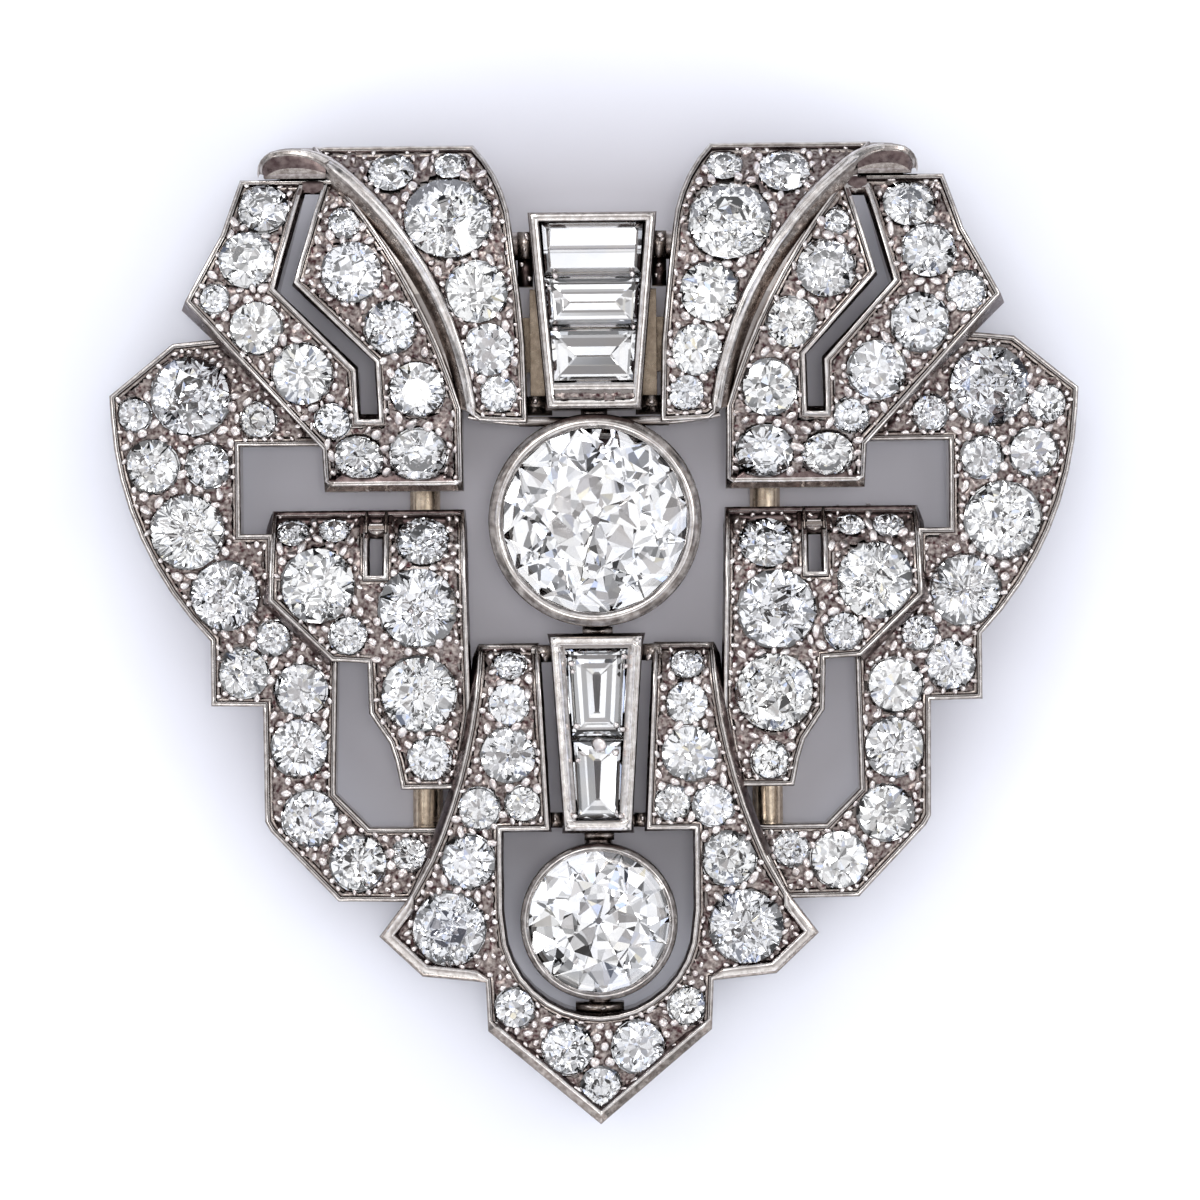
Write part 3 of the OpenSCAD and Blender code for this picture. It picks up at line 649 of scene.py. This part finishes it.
def ruled(bm, a, b, top, heights, look):
    """A curved patch between two paths of as many points, with a height for each row from a to b."""
    rings = []
    for k, h in enumerate(heights):
        t = k / (len(heights) - 1)
        rings.append([bm.verts.new(on_top(top, p[0] + (q[0] - p[0]) * t, p[1] + (q[1] - p[1]) * t, h))
                      for p, q in zip(a, b)])
    loft(bm, rings, False, [look] * len(a))


FAR = 99.0
COLLET_WAVES, COLLET_WOBBLE = 2, 0.012


def flat(z):
    """A top that rolls nowhere."""
    return (-FAR, FAR, z, 1)


def ring_rim(bm, at, profile, z, looks, n=96):
    """A turned rim round a stone; profile holds radius and height above z."""
    turns = [math.tau * i / n for i in range(n)]
    rings = []
    for r, h in profile:
        radii = [r + COLLET_WOBBLE * noise.noise(
            Vector((math.cos(a) * COLLET_WAVES, math.sin(a) * COLLET_WAVES, r))) for a in turns]
        rings.append([bm.verts.new((at[0] + q * math.cos(a), at[1] + q * math.sin(a), z + h))
                      for q, a in zip(radii, turns)])
    loft(bm, rings, True, [looks] * n)


# Grains: their radii in the order of placing, and how often one stands against a stone and away from it
GRAIN_SIZES = (0.28, 0.245, 0.21, 0.18, 0.155)
HOLDING, LOOSE = 0.93, 0.6
# Their grid and how far it is shaken; the room to rim and stone and the reach of one that holds a stone, as
# shares of the radius; a large one needs a second stone nearby; ranges of height and radius
GRAIN_GRID, GRAIN_SHAKE = 0.08, 0.45
GRAIN_TO_RIM, GRAIN_TO_STONE, HOLDING_REACH = 0.55, 0.15, 1.5
LARGE_GRAIN, SECOND_STONE = 0.2, 0.75
HOLDING_HEIGHT, LOOSE_HEIGHT = (0.22, 0.3), (0.14, 0.24)
GRAIN_SPREAD = (0.8, 1.05)
# The form of a bead: reach of its corners, slope, and rows as shares of radius and height
BEAD_REACH = (0.86, 1.1)
BEAD_SLOPE = 0.25
BEAD_ROWS = ((1.0, -0.15), (0.9, 0.74), (0.64, 0.96))
# Cut ground: grid and shake, room to the outline, reach under the stones, and heights: least, range, and how
# much less near a stone
GROUND_GRID, GROUND_SHAKE = 0.19, 0.32
GROUND_MARGIN, GROUND_UNDER = 0.28, 0.12
GROUND_LEAST, GROUND_RANGE = 0.015, 0.2
GROUND_NEAR, GROUND_FALL = 0.25, 0.01


def clear_of(points, outline, slots, stones):
    """Distance of each point from the edges and from the two nearest stones."""
    edge = from_edges(points, outline, slots)
    gaps = np.full((len(stones) + 2, len(points)), FAR)
    for row, (middle, d, up) in enumerate(stones):
        gaps[row] = np.linalg.norm(points - np.array(middle.xy), axis=1) - d / 2
    gaps.sort(axis=0)
    return edge, gaps[0], gaps[1]


def grid(outline, step, rng, jitter):
    """Shaken points of a grid over the outline's box, row by row, and how many there are along x and y."""
    p = np.array(outline)
    lo, hi = p.min(0), p.max(0)
    nx, ny = np.ceil((hi - lo) / step).astype(int) + 1
    x, y = np.meshgrid(lo[0] + step * np.arange(nx), lo[1] + step * np.arange(ny))
    shake = np.array([[rng.uniform(-jitter, jitter), rng.uniform(-jitter, jitter)] for _ in range(nx * ny)])
    return np.stack([x.ravel(), y.ravel()], 1) + shake * step, nx, ny


def grains(bm, outline, slots, stones, top, rng):
    """Beads of metal raised by a graver: higher ones against the stones, lower ones between them."""
    points = grid(outline, GRAIN_GRID, rng, GRAIN_SHAKE)[0]
    edge, gap, second = clear_of(points, outline, slots, stones)
    order = list(range(len(points)))
    rng.shuffle(order)
    kept = []
    for r in GRAIN_SIZES:
        for i in order:
            if edge[i] < RIM_W + GRAIN_TO_RIM * r or gap[i] < GRAIN_TO_STONE * r:
                continue
            if r > LARGE_GRAIN and second[i] > SECOND_STONE:
                continue
            x, y = points[i]
            if any((x - k[0]) ** 2 + (y - k[1]) ** 2 < (r + k[2]) ** 2 for k in kept):
                continue
            holds = gap[i] < HOLDING_REACH * r
            kept.append((x, y, r, holds, rng.random() < (HOLDING if holds else LOOSE)))
    for x, y, r, holds, there in kept:
        if there:
            height = rng.uniform(*(HOLDING_HEIGHT if holds else LOOSE_HEIGHT))
            bead(bm, sunk(top, FIELD_DEPTH), x, y, r * rng.uniform(*GRAIN_SPREAD), height, rng)


def sunk(top, depth):
    """The rolled surface that lies depth below another one."""
    return (top[0], top[1], top[2] - depth, top[3] - depth)


def bead(bm, field, x, y, r, height, rng, n=8, longest=1.4):
    """A domed bead, a little longer than wide, with its base just below the field and a slope at its top."""
    longer, turn = rng.uniform(1.0, longest), rng.uniform(0, math.pi)
    slope_x, slope_y = rng.gauss(0, BEAD_SLOPE), rng.gauss(0, BEAD_SLOPE)
    rows = []
    reaches = [r * rng.uniform(*BEAD_REACH) for _ in range(n)]
    for share, h in BEAD_ROWS:
        row = []
        for i in range(n):
            u = reaches[i] * share * math.cos(math.tau * i / n) * longer
            v = reaches[i] * share * math.sin(math.tau * i / n) / longer
            du = u * math.cos(turn) - v * math.sin(turn)
            dv = u * math.sin(turn) + v * math.cos(turn)
            lean = (slope_x * du + slope_y * dv) if h > 0 else 0.0
            row.append(bm.verts.new(on_top(field, x + du, y + dv, height * h + lean)))
        rows.append(row)
    loft(bm, rows, True, [0] * n)
    tip = bm.verts.new(on_top(field, x, y, height))
    for i in range(n):
        bm.faces.new((rows[-1][i], rows[-1][(i + 1) % n], tip))


def ground(bm, outline, slots, stones, top, rng, margin=GROUND_MARGIN):
    """The cut metal between the stones: small crossing graver cuts."""
    points, nx, ny = grid(outline, GROUND_GRID, rng, GROUND_SHAKE)
    edge, gap, second = clear_of(points, outline, slots, stones)
    field = sunk(top, FIELD_DEPTH)
    verts = {}

    def vert(i):
        if i not in verts:
            x, y = points[i]
            near = max(0.0, 1 - gap[i] / GROUND_NEAR)
            height = GROUND_LEAST + rng.uniform(0.0, GROUND_RANGE) - GROUND_FALL * near
            verts[i] = bm.verts.new(on_top(field, x, y, height))
        return verts[i]

    usable = (edge > margin) & (gap > -GROUND_UNDER)
    for row in range(ny - 1):
        for col in range(nx - 1):
            a = row * nx + col
            corners = (a, a + 1, a + nx + 1, a + nx)
            if all(usable[c] for c in corners):
                q = [vert(c) for c in corners]
                if rng.random() < 0.5:
                    bm.faces.new((q[0], q[1], q[2]))
                    bm.faces.new((q[0], q[2], q[3]))
                else:
                    bm.faces.new((q[0], q[1], q[3]))
                    bm.faces.new((q[1], q[2], q[3]))


# The brooch
for name, material in (("frame", PLATINUM), ("clip", GOLD)):
    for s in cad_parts[name].material_slots:
        s.material = material

PANELS = [
    ("scroll", SCROLL, [], [], SCROLL_TOP), ("fan", FAN, [RIGHT_FAN_SLOT], [LEFT_FAN_SLOT], FAN_TOP),
    ("wing", WING, [], [], WING_TOP), ("panel", MID, [MID_SLOT], [MID_SLOT], MID_TOP),
]
RIDGE_PATHS = [RIDGE, mirrored(RIDGE)]
# Where the looks of the edges change: y, or half of the width and y
FAN_FOOT = 6.8
PANEL_TOP, PANEL_BEVEL_TOP, PANEL_INNER_X = 5.5, 5.0, 6.2
FAN_SLOT_TOP = 20.05
MID_SLOT_TOP = (4.7, 5)
DROP_HOLE = (4.5, -17.5)
DROP_POINT = -17.9
DROP_SHOULDER = (5.3, -11.9)


def along(x, y, path, reach=0.1):
    """Whether a point lies on an open path."""
    for a, b in zip(path, path[1:]):
        t = ((x - a[0]) * (b[0] - a[0]) + (y - a[1]) * (b[1] - a[1])) / math.dist(a, b) ** 2
        t = max(0.0, min(1.0, t))
        if math.dist((x, y), (a[0] + (b[0] - a[0]) * t, a[1] + (b[1] - a[1]) * t)) < reach:
            return True
    return False


def scroll_edge(x, y):
    return (WIDE, RIDGED) if any(along(x, y, p) for p in RIDGE_PATHS) else (THIN, CRISP)


def fan_edge(x, y):
    return (TIP, SLOPED) if y < FAN_FOOT else (THIN, CRISP)


def panel_edge(x, y):
    # the top edge of the panel is painted with shade
    if y > PANEL_TOP:
        return THIN, SHADED
    return (SLOT, PIERCED) if abs(x) < PANEL_INNER_X else (THIN, CRISP)


def panel_bevel(x, y):
    # the bevel below the panel's top is painted dark with shade
    return (BEVEL, DARK) if y > PANEL_BEVEL_TOP else (BEVEL, BEVELS)


def slot_edge(x, y):
    # the upper ends of the slots are low and painted dark with shade
    if y > FAN_SLOT_TOP or MID_SLOT_TOP[0] < y < MID_SLOT_TOP[1]:
        return outwards(LOW_SLOT), SHADED
    return outwards(SLOT), PIERCED


def drop_edge(x, y):
    if abs(x) < DROP_HOLE[0] and y > DROP_HOLE[1]:
        return SLOT, PIERCED
    if y < DROP_POINT:
        return TIP, SLOPED
    if y < DROP_SHOULDER[1] and abs(x) > DROP_SHOULDER[0]:
        return SHOULDER, SLOPED
    return THIN, CRISP


EDGES = {"scroll": scroll_edge, "fan": fan_edge, "wing": always(THIN, CRISP), "panel": panel_edge,
         "drop": drop_edge}
# Seeds of the random draws for the metal and for the stones
METAL_SEED, RIGHT_SEED, LEFT_SEED, DROP_SEED = 11, 20, 40, 60
rims, grain_mesh, ground_mesh = bmesh.new(), bmesh.new(), bmesh.new()
draws = random.Random(METAL_SEED)


def dress(node, kind, outline, slots, top, seed):
    """The stones, edges, grains and cut ground of one panel."""
    stones = cut_field(node, seed, outline, slots)
    rim(rims, outline, top, EDGES[kind])
    rim(rims, outline, top, panel_bevel if kind == "panel" else always(BEVEL, BEVELS))
    for s in slots:
        rim(rims, s, top, slot_edge)
        rim(rims, s, top, always(outwards(BEVEL), BEVELS))
    grains(grain_mesh, outline, slots, stones, top, draws)
    ground(ground_mesh, outline, slots, stones, top, draws)


for k, (name, outline, right_slots, left_slots, top) in enumerate(PANELS):
    dress(f"stones_right_{name}", name, outline, right_slots, top, RIGHT_SEED + k)
    left_slots = [mirrored(s) for s in left_slots]
    dress(f"stones_left_{name}", name, mirrored(outline), left_slots, top, LEFT_SEED + k)
dress("stones_drop", "drop", DROP, [], DROP_TOP, DROP_SEED)

# Boxes: an inner edge painted with highlight and a sloped outer side on the upper one, a broad sloped side on
# the lower one; their walls painted with shade
TOP_BAR_EDGE = [(-0.06, -0.6), (-0.01, -0.08), (0.03, 0.02), (0.1, 0.07), (0.22, 0.09), (0.36, 0.05),
                (0.41, 0.0), (0.43, -0.4)]
TOP_BAR_LOOKS = (DARK, DARK, DULL, BRIGHT, BRIGHT, DULL, DARK)
LOW_BAR_EDGE = [(-0.05, -0.6), (-0.01, -0.02), (0.01, 0.08), (0.05, 0.11), (0.08, 0.11), (0.56, -0.01),
                (0.58, -0.1), (0.59, -0.4)]
LOW_BAR_ENDS = [(-0.15, -0.6), (-0.04, -0.04), (0.01, 0.04), (0.3, 0.1), (0.34, 0.1), (0.39, 0.03),
                (0.41, -0.04), (0.42, -0.4)]
LOW_BAR_LOOKS = (DARK, DULL, BRIGHT, BRIGHT, BRIGHT, BRIGHT, DARK)
BAR_END = 0.05
BAR_WOBBLE = 0.015


def low_bar_edge(x, y):
    ends = y > LOW_BAR[2] - BAR_END or y < LOW_BAR[3] + BAR_END
    return (LOW_BAR_ENDS if ends else LOW_BAR_EDGE), LOW_BAR_LOOKS


rim(rims, bar_outline(TOP_BAR), flat(TOP_BAR_Z), always(TOP_BAR_EDGE, TOP_BAR_LOOKS), BAR_WOBBLE)
rim(rims, bar_outline(LOW_BAR), flat(LOW_BAR_Z), low_bar_edge, BAR_WOBBLE)
# turned rims round the two large stones, their inner slope painted with highlight
for at, (stone_r, outer_r, z) in ((MAIN_AT, MAIN_COLLET), (DROP_AT, DROP_COLLET)):
    wide = outer_r - stone_r
    ring_rim(rims, at, [(outer_r + 0.01, -1.2), (outer_r + 0.01, -0.12), (outer_r - 0.1 * wide, 0.0),
                        (outer_r - 0.55 * wide, 0.08), (outer_r - 0.66 * wide, 0.11), (stone_r + 0.08, 0.08),
                        (stone_r - 0.04, -0.16)], z, (DULL, DULL, DULL, BRIGHT, BRIGHT, BRIGHT))

# Left (-1) and right (1) side: how far the scroll's tip reaches, and the fan slot's upper end along x
TIP_REACH = {-1: 0.27, 1: -0.1}
SLOT_END = {-1: (13.15, 12.2), 1: (12.5, 11.65)}
SLOT_END_Y, SLOT_END_BULGE, SLOT_BEYOND_Y = 20.02, 0.22, 20.75
TIP_FOOT_Y = 20.83
# The lip round the scroll's tip: where it starts on the ridge, and how many times wider than LIP it is
LIP_START = 22
LIP_ON_RIDGE = 2.7
LIP_ON_TIP = [2.6, 2.3, 2.0, 1.8, 1.6, 1.5, 1.4, 1.3, 1.2, 1.1, 1.1, 1.1, 1.1, 1.1]
GROOVE_LIFT = 0.03
ROLL_Z = 5.6


def dress_side(turn):
    """The trim of the right side (1) or of the left side (-1)."""
    def placed(points):
        # the left side is the mirror image, with the same side of the path inside
        return [(turn * x, y) for x, y in points][::turn]

    # the wall below the scroll's ridge and the hollow of its tip, painted with shade, and the lip of its tip
    # with its painted highlight
    ridge = arc(RIDGE[0], RIDGE[5], RIDGE[-1], 30)
    strip(rims, placed(ridge), SCROLL_TOP, [(0.0, -0.02), (-0.05, -0.12), (-0.4, -0.6), (-0.5, -0.9)],
          (BEVELLED, BEVELLED, DARK))
    reach = TIP_REACH[turn]
    tip = arc((12.1, 21.3), (13.2, 21.82), (14.3 + reach, 21.76), 8) + arc(
        (14.5 + reach, 21.62), (14.65 + reach, 21.4), (14.64 + reach, 20.9), 4)
    low = [(12.1 + (2.5 + reach) * i / 13, TIP_FOOT_Y) for i in range(14)]
    ruled(rims, placed(tip), placed(low), SCROLL_TOP, (-0.02, -0.12, -0.17, -0.2, -0.2),
          (DARK, DARK, BEVELLED, BEVELLED))
    above = [(x, y + 0.3) for x, y in low]
    ruled(rims, placed(above), placed(low), SCROLL_TOP, (-0.21, -0.17, -0.16), BEVELLED)
    run_in = ridge[LIP_START:-1]
    widths = [LIP_ON_RIDGE] * len(run_in) + LIP_ON_TIP
    looks = [RIDGED] * (len(run_in) + 5) + [CRISP] * 4 + [FADED] * 5
    strip(rims, placed(run_in + tip), SCROLL_TOP, LIP, looks[::turn], widths[::turn])
    # the rounded end of the fan's slot: a dark sheet of painted shade
    first, last = SLOT_END[turn]
    across = [first + (last - first) * i / 6 for i in range(7)]
    rounded = [(x, SLOT_END_Y + SLOT_END_BULGE * abs(i - 3) / 3) for i, x in enumerate(across)]
    beyond = [(x, SLOT_BEYOND_Y) for x in across]
    ruled(rims, placed(beyond), placed(rounded), FAN_TOP, (0.06, 0.04, 0.0), DARK)
    # walls from a higher panel down to the one beside it, painted dark with shade
    for path, top, run, fall in (
            ([(12.35, 8.42), (18.4, 15.1)], FAN_TOP, 0.35, 1.3),
            ([(12.0, -1.2), (14.85, 1.55), (14.75, 5.6)], MID_TOP, 0.33, 0.95),
            (arc((7.6, -10.2), (6.15, -6), (5.35, -0.5), 12), DROP_TOP, 0.3, 0.8)):
        wall = [(0.0, -0.02), (-0.15 * run, -0.1 * fall), (-0.85 * run, -0.8 * fall), (-run, -fall)]
        strip(rims, placed(path), top, wall, DARK)
    # the groove that runs on from the middle panel's slot to its top: its inside painted dark with shade, and
    # a small bar across it painted with highlight
    groove = [(10.36, 5.6), (10.36, 5.1), (10.36, 4.6)], [(9.62, 4.6), (9.62, 5.1), (9.62, 5.6)]
    for path in groove:
        strip(rims, placed(path), (*MID_TOP[:2], MID_TOP[2] + GROOVE_LIFT, MID_TOP[3]), THIN, CRISP)
        strip(rims, placed(path), MID_TOP, [(0.2, -0.05), (0.3, -0.02), (0.42, -0.1)], DARK)
    ruled(rims, placed(groove[0][::-1]), placed(groove[1]), MID_TOP, (-0.02, -0.2, -0.26, -0.2, -0.02), DARK)
    strip(rims, placed([(10.3, 5.02), (9.68, 5.02)]), MID_TOP,
          [(-0.09, -0.2), (-0.05, 0.0), (0.05, 0.0), (0.09, -0.2)], BRIGHT)
    # the rolled lower edge of the scrolls, seen between them and the main stone, painted with highlight
    roll = arc((1.62, 9.42), (3.4, 9.45), (5.7, 9.78), 10)
    strip(rims, placed(roll), flat(ROLL_Z), [
        (-0.07, -0.3), (-0.07, -0.02), (0.0, 0.05), (0.1, 0.04), (0.17, -0.08), (0.17, -0.3)], BRIGHT)


dress_side(1)
dress_side(-1)
# The polished band, painted with highlight, and the rough band below the upper box's stones
strip(rims, [(2.0, 10.9), (-2.0, 10.9)], flat(TOP_BAR_Z), [
    (-0.35, -0.2), (-0.33, 0.02), (-0.04, 0.075), (0.0, -0.02)], BRIGHT)
ground(ground_mesh, [(-1.9, 10.38), (1.9, 10.38), (1.95, 10.86), (-1.95, 10.86)], [], [],
       flat(TOP_BAR_Z + FIELD_DEPTH), draws, 0.0)

# Beads at the corners of the baguettes, for each box's height: x, y and radius; and how they sit and look
BEADS = {
    TOP_BAR_Z: [(-1.68, 16.05, 0.15), (1.78, 16.1, 0.13), (-1.7, 13.66, 0.14), (1.8, 13.72, 0.12),
                (-1.95, 15.5, 0.1)],
    LOW_BAR_Z: [(-1.12, -1.4, 0.15), (-1.08, -1.75, 0.12), (1.28, -1.12, 0.15), (1.3, -1.55, 0.12),
                (-0.92, -4.25, 0.16), (0.86, -4.2, 0.15), (1.14, -4.4, 0.13), (0.08, -5.08, 0.36),
                (0.82, -5.45, 0.17), (-0.87, -5.8, 0.13), (-1.05, -8.3, 0.13), (1.02, -8.3, 0.12)],
}
BEAD_DEPTH, BEAD_HEIGHT, BEAD_SIDES, BEAD_LONGEST = 0.12, 0.3, 16, 1.08
for z, beads in BEADS.items():
    for x, y, r in beads:
        bead(grain_mesh, flat(z - BEAD_DEPTH), x, y, r, BEAD_HEIGHT, draws, BEAD_SIDES, BEAD_LONGEST)

# Blocks of solder between the parts: x from and to, y from and to, and the top; their depth; the drops on
# them: how many for a millimetre, room to the sides and ends, range of radii, height, and depth
JOINTS = (
    (-0.6, 0.75, -0.2, 0.24, 4.8), (-0.62, 0.72, -9.45, -9.0, 5.0), (-1.1, 1.1, -17.35, -16.85, 4.7),
    (-0.6, 0.6, 9.75, 10.15, 5.0), (-2.7, -2.0, -1.35, -0.6, 5.0), (2.05, 2.9, -1.3, -0.55, 5.0),
    (-2.25, -1.6, -8.85, -8.2, 5.0), (1.65, 2.3, -8.85, -8.25, 5.0), (-3.4, -2.72, 17.0, 18.2, 5.1),
    (2.7, 3.35, 17.0, 18.2, 5.1), (-3.4, -2.72, 15.75, 17.0, 4.9), (2.7, 3.35, 15.75, 17.0, 4.9),
    (-3.1, -2.2, 10.0, 10.75, 4.6), (2.15, 3.1, 10.0, 10.75, 4.6))
JOINT_DEPTH = 1.2
DROPS_PER_MM = 2
DROP_TO_SIDE, DROP_TO_END = 0.15, 0.1
DROP_SIZE, DROP_HEIGHT, DROP_DEPTH = (0.09, 0.17), 0.2, 0.1
for x0, x1, y0, y1, z in JOINTS:
    # blocks reaching between y 11 and 16, beside the upper box, get the dark painted shade, the others the
    # milder painted shade of the bevels
    look = BEVELLED if y0 > 16 or y1 < 11 else DARK
    base = ((x0, y0), (x1, y0), (x1, y1), (x0, y1))
    corners = [[rims.verts.new((x, y, h)) for x, y in base] for h in (z - JOINT_DEPTH, z)]
    loft(rims, corners, True, [look] * 4)
    for c in corners:
        rims.faces.new(c).material_index = look
    for _ in range(int((y1 - y0) * DROPS_PER_MM)):
        x = draws.uniform(x0 + DROP_TO_SIDE, x1 - DROP_TO_SIDE)
        y = draws.uniform(y0 + DROP_TO_END, y1 - DROP_TO_END)
        bead(grain_mesh, flat(z - DROP_DEPTH), x, y, draws.uniform(*DROP_SIZE), DROP_HEIGHT, draws)
make_piece("bright_rims", rims, [CREST_PAINTED_HIGHLIGHT, BEVEL_PAINTED_SHADE, WALL_PAINTED_SHADE, EDGE_PAINTED_SHADE], "platinum", True)
make_piece("pave_grains", grain_mesh, [GRAIN_PAINTED_HIGHLIGHT], "platinum", True)
make_piece("pave_ground", ground_mesh, [GROUND_PAINTED_SHADE], "platinum", True)

cut_large("main_stone", "cut_main_stone", 9, (0.6, -0.8), table=0.5, crown=0.165, pavilion=0.43, lower=0.5,
          star=0.73, culet=0.05, uneven=0.01, facets=0.002, again=0.2)
cut_large("drop_stone", "cut_drop_stone", 4, (-1.0, 0.7), table=0.54, crown=0.155, pavilion=0.435,
          lower=0.42, star=0.73, culet=0.05, uneven=0.012)
for (node, row), steps, ends, lean in zip(BAGUETTES.items(), PAVILIONS, ENDS, LEANS):
    cut_baguette(node, row, steps, ends, lean)

# Floor: half of its side, the paper's clouds, and the middle and reach of the painted shade below the brooch
FLOOR_HALF = 400.0
PAPER_CLOUD = 9.0
SHADE_MIDDLE_Y, SHADE_REACH = 5, 50
floor_mesh = bpy.data.meshes.new("floor")
bm = bmesh.new()
corners = ((-1, -1), (1, -1), (1, 1), (-1, 1))
bm.faces.new([bm.verts.new((x * FLOOR_HALF * MM, y * FLOOR_HALF * MM, 0)) for x, y in corners])
bm.to_mesh(floor_mesh)
bm.free()
floor = new_object("floor", floor_mesh)
paper, nodes, links, shader = new_material("white_paper")
cool = ramp(nodes, links, noise_node(nodes, links, PAPER_CLOUD, 3), [
    (0.3, (0.84, 0.855, 0.925)), (0.7, (0.86, 0.875, 0.945))])
# Painted shade: the paper is tinted a little warmer below the brooch, and a little darker below its outer
# openings
place = new_node(nodes, "TexCoord")
centred = new_node(nodes, "Mapping", Location=(0, -SHADE_MIDDLE_Y * MM, 0))
away = new_node(nodes, "VectorMath")
away.operation = "LENGTH"
scaled = new_node(nodes, "Math")
scaled.operation = "MULTIPLY"
scaled.inputs[1].default_value = 1 / (SHADE_REACH * MM)
links.new(place.outputs["Object"], centred.inputs["Vector"])
links.new(centred.outputs["Vector"], away.inputs[0])
links.new(away.outputs["Value"], scaled.inputs[0])
painted_shade_below = ramp(nodes, links, scaled.outputs["Value"], [
    (0.18, (1.0, 0.965, 0.96)), (0.31, (0.78, 0.755, 0.75)), (0.36, (0.86, 0.845, 0.845)), (0.47, grey(1.0))])
links.new(mixed(nodes, links, "MULTIPLY", cool, painted_shade_below), shader.inputs["Base Color"])
shader.inputs["Roughness"].default_value = 0.85
shader.inputs["Specular IOR Level"].default_value = 0.2
floor_mesh.materials.append(paper)


LIGHT_DISTANCE = 320.0


def light(name, azimuth, elevation, size, radiance, colour, on_floor):
    """A soft box that faces the brooch, for the floor or else for metal and stones."""
    data = bpy.data.lights.new(name, "AREA")
    data.shape = "RECTANGLE"
    data.size, data.size_y = size[0] * MM, size[1] * MM
    data.energy = radiance * math.pi * data.size * data.size_y
    data.color = colour
    obj = new_object(name, data)
    a, e = math.radians(azimuth), math.radians(elevation)
    towards = Vector((math.cos(a) * math.cos(e), math.sin(a) * math.cos(e), math.sin(e)))
    obj.location = towards * LIGHT_DISTANCE * MM
    obj.rotation_euler = towards.to_track_quat("Z", "Y").to_euler()
    obj.visible_diffuse = on_floor
    obj.visible_glossy = obj.visible_transmission = not on_floor


light("top_box", 0, 88, (45, 45), 24.0, (1.0, 0.99, 0.99), True)
for k in range(4):
    light(f"side_box_{k + 1}", 45 + 90 * k, 38, (200, 150), 1.25, grey(1.0), True)
light("key_box", 118, 52, (120, 70), 6.5, (1.0, 0.99, 0.98), False)
light("right_box", 20, 58, (60, 110), 5.0, (0.97, 0.985, 1.0), False)
light("low_box", 250, 55, (90, 50), 4.0, (1.0, 0.985, 0.97), False)

# Sky: a dome, with bright and dark cards and a few coloured ones for the fire of the stones
CARD_SCALE, CARD_DETAIL = 6.5, 2.5
FIRE_SCALE, FIRE_DETAIL = 9.0, 1.0
SKY_STRENGTH = 1.15
world = bpy.data.worlds.new("studio")
scene.world = world
world.use_nodes = True
nodes, links = world.node_tree.nodes, world.node_tree.links
coord = new_node(nodes, "TexCoord")
split = new_node(nodes, "SeparateXYZ")
links.new(coord.outputs["Generated"], split.inputs["Vector"])
dome = ramp(nodes, links, split.outputs["Z"], [
    (0.0, (0.5, 0.51, 0.55)), (0.25, (0.72, 0.735, 0.78)), (0.55, (1.05, 1.06, 1.1)),
    (0.965, (1.12, 1.125, 1.15)), (0.988, (0.6, 0.58, 0.585)), (1.0, (0.5, 0.48, 0.485))])


def sky_noise(scale, detail):
    tex = new_node(nodes, "TexNoise", Scale=scale, Detail=detail)
    links.new(coord.outputs["Generated"], tex.inputs["Vector"])
    return tex.outputs["Fac"]


cards = ramp(nodes, links, sky_noise(CARD_SCALE, CARD_DETAIL), [
    (0.385, grey(0.05)), (0.435, grey(0.26)), (0.465, grey(0.6)), (0.5, grey(1.02)), (0.6, grey(1.22))])
fire = ramp(nodes, links, sky_noise(FIRE_SCALE, FIRE_DETAIL), [
    (0.24, (0.68, 0.82, 1.25)), (0.34, (0.94, 0.98, 1.06)), (0.38, grey(1.0)), (0.7, grey(1.0)),
    (0.78, (1.12, 1.04, 0.8))])
# The cards fade towards the top, where the flat facets look, and the sky is plain near the horizon
above = ramp(nodes, links, split.outputs["Z"], [(0.12, grey(0.0)), (0.22, grey(1.0))])
fade = ramp(nodes, links, split.outputs["Z"], [
    (0.12, grey(0.0)), (0.22, grey(1.0)), (0.88, grey(1.0)), (0.96, grey(0.5))])
coloured = mixed(nodes, links, "MULTIPLY", dome, fire, above)
sky = mixed(nodes, links, "MULTIPLY", coloured, cards, fade)
links.new(sky, nodes["Background"].inputs["Color"])
nodes["Background"].inputs["Strength"].default_value = SKY_STRENGTH

camera_data = bpy.data.cameras.new("camera")
camera_data.sensor_width = SENSOR
camera_data.lens = SENSOR * CAMERA_DISTANCE / (PHOTO_PX / PX_PER_MM)
camera_data.clip_start = 0.01
camera = new_object("camera", camera_data)
# Where the middle of the photograph falls, from the origin
off = Vector(((PHOTO_PX / 2 - ORIGIN_PX[0]) / PX_PER_MM, (ORIGIN_PX[1] - PHOTO_PX / 2) / PX_PER_MM, 0))
off.rotate(Matrix.Rotation(-PHOTO_TURN, 3, "Z"))
camera.location = (off.x * MM, off.y * MM, (FOCUS_Z + CAMERA_DISTANCE) * MM)
camera.rotation_euler = (0, 0, -PHOTO_TURN)
scene.camera = camera
scene.view_settings.view_transform = "Standard"
scene.view_settings.exposure = 0.0
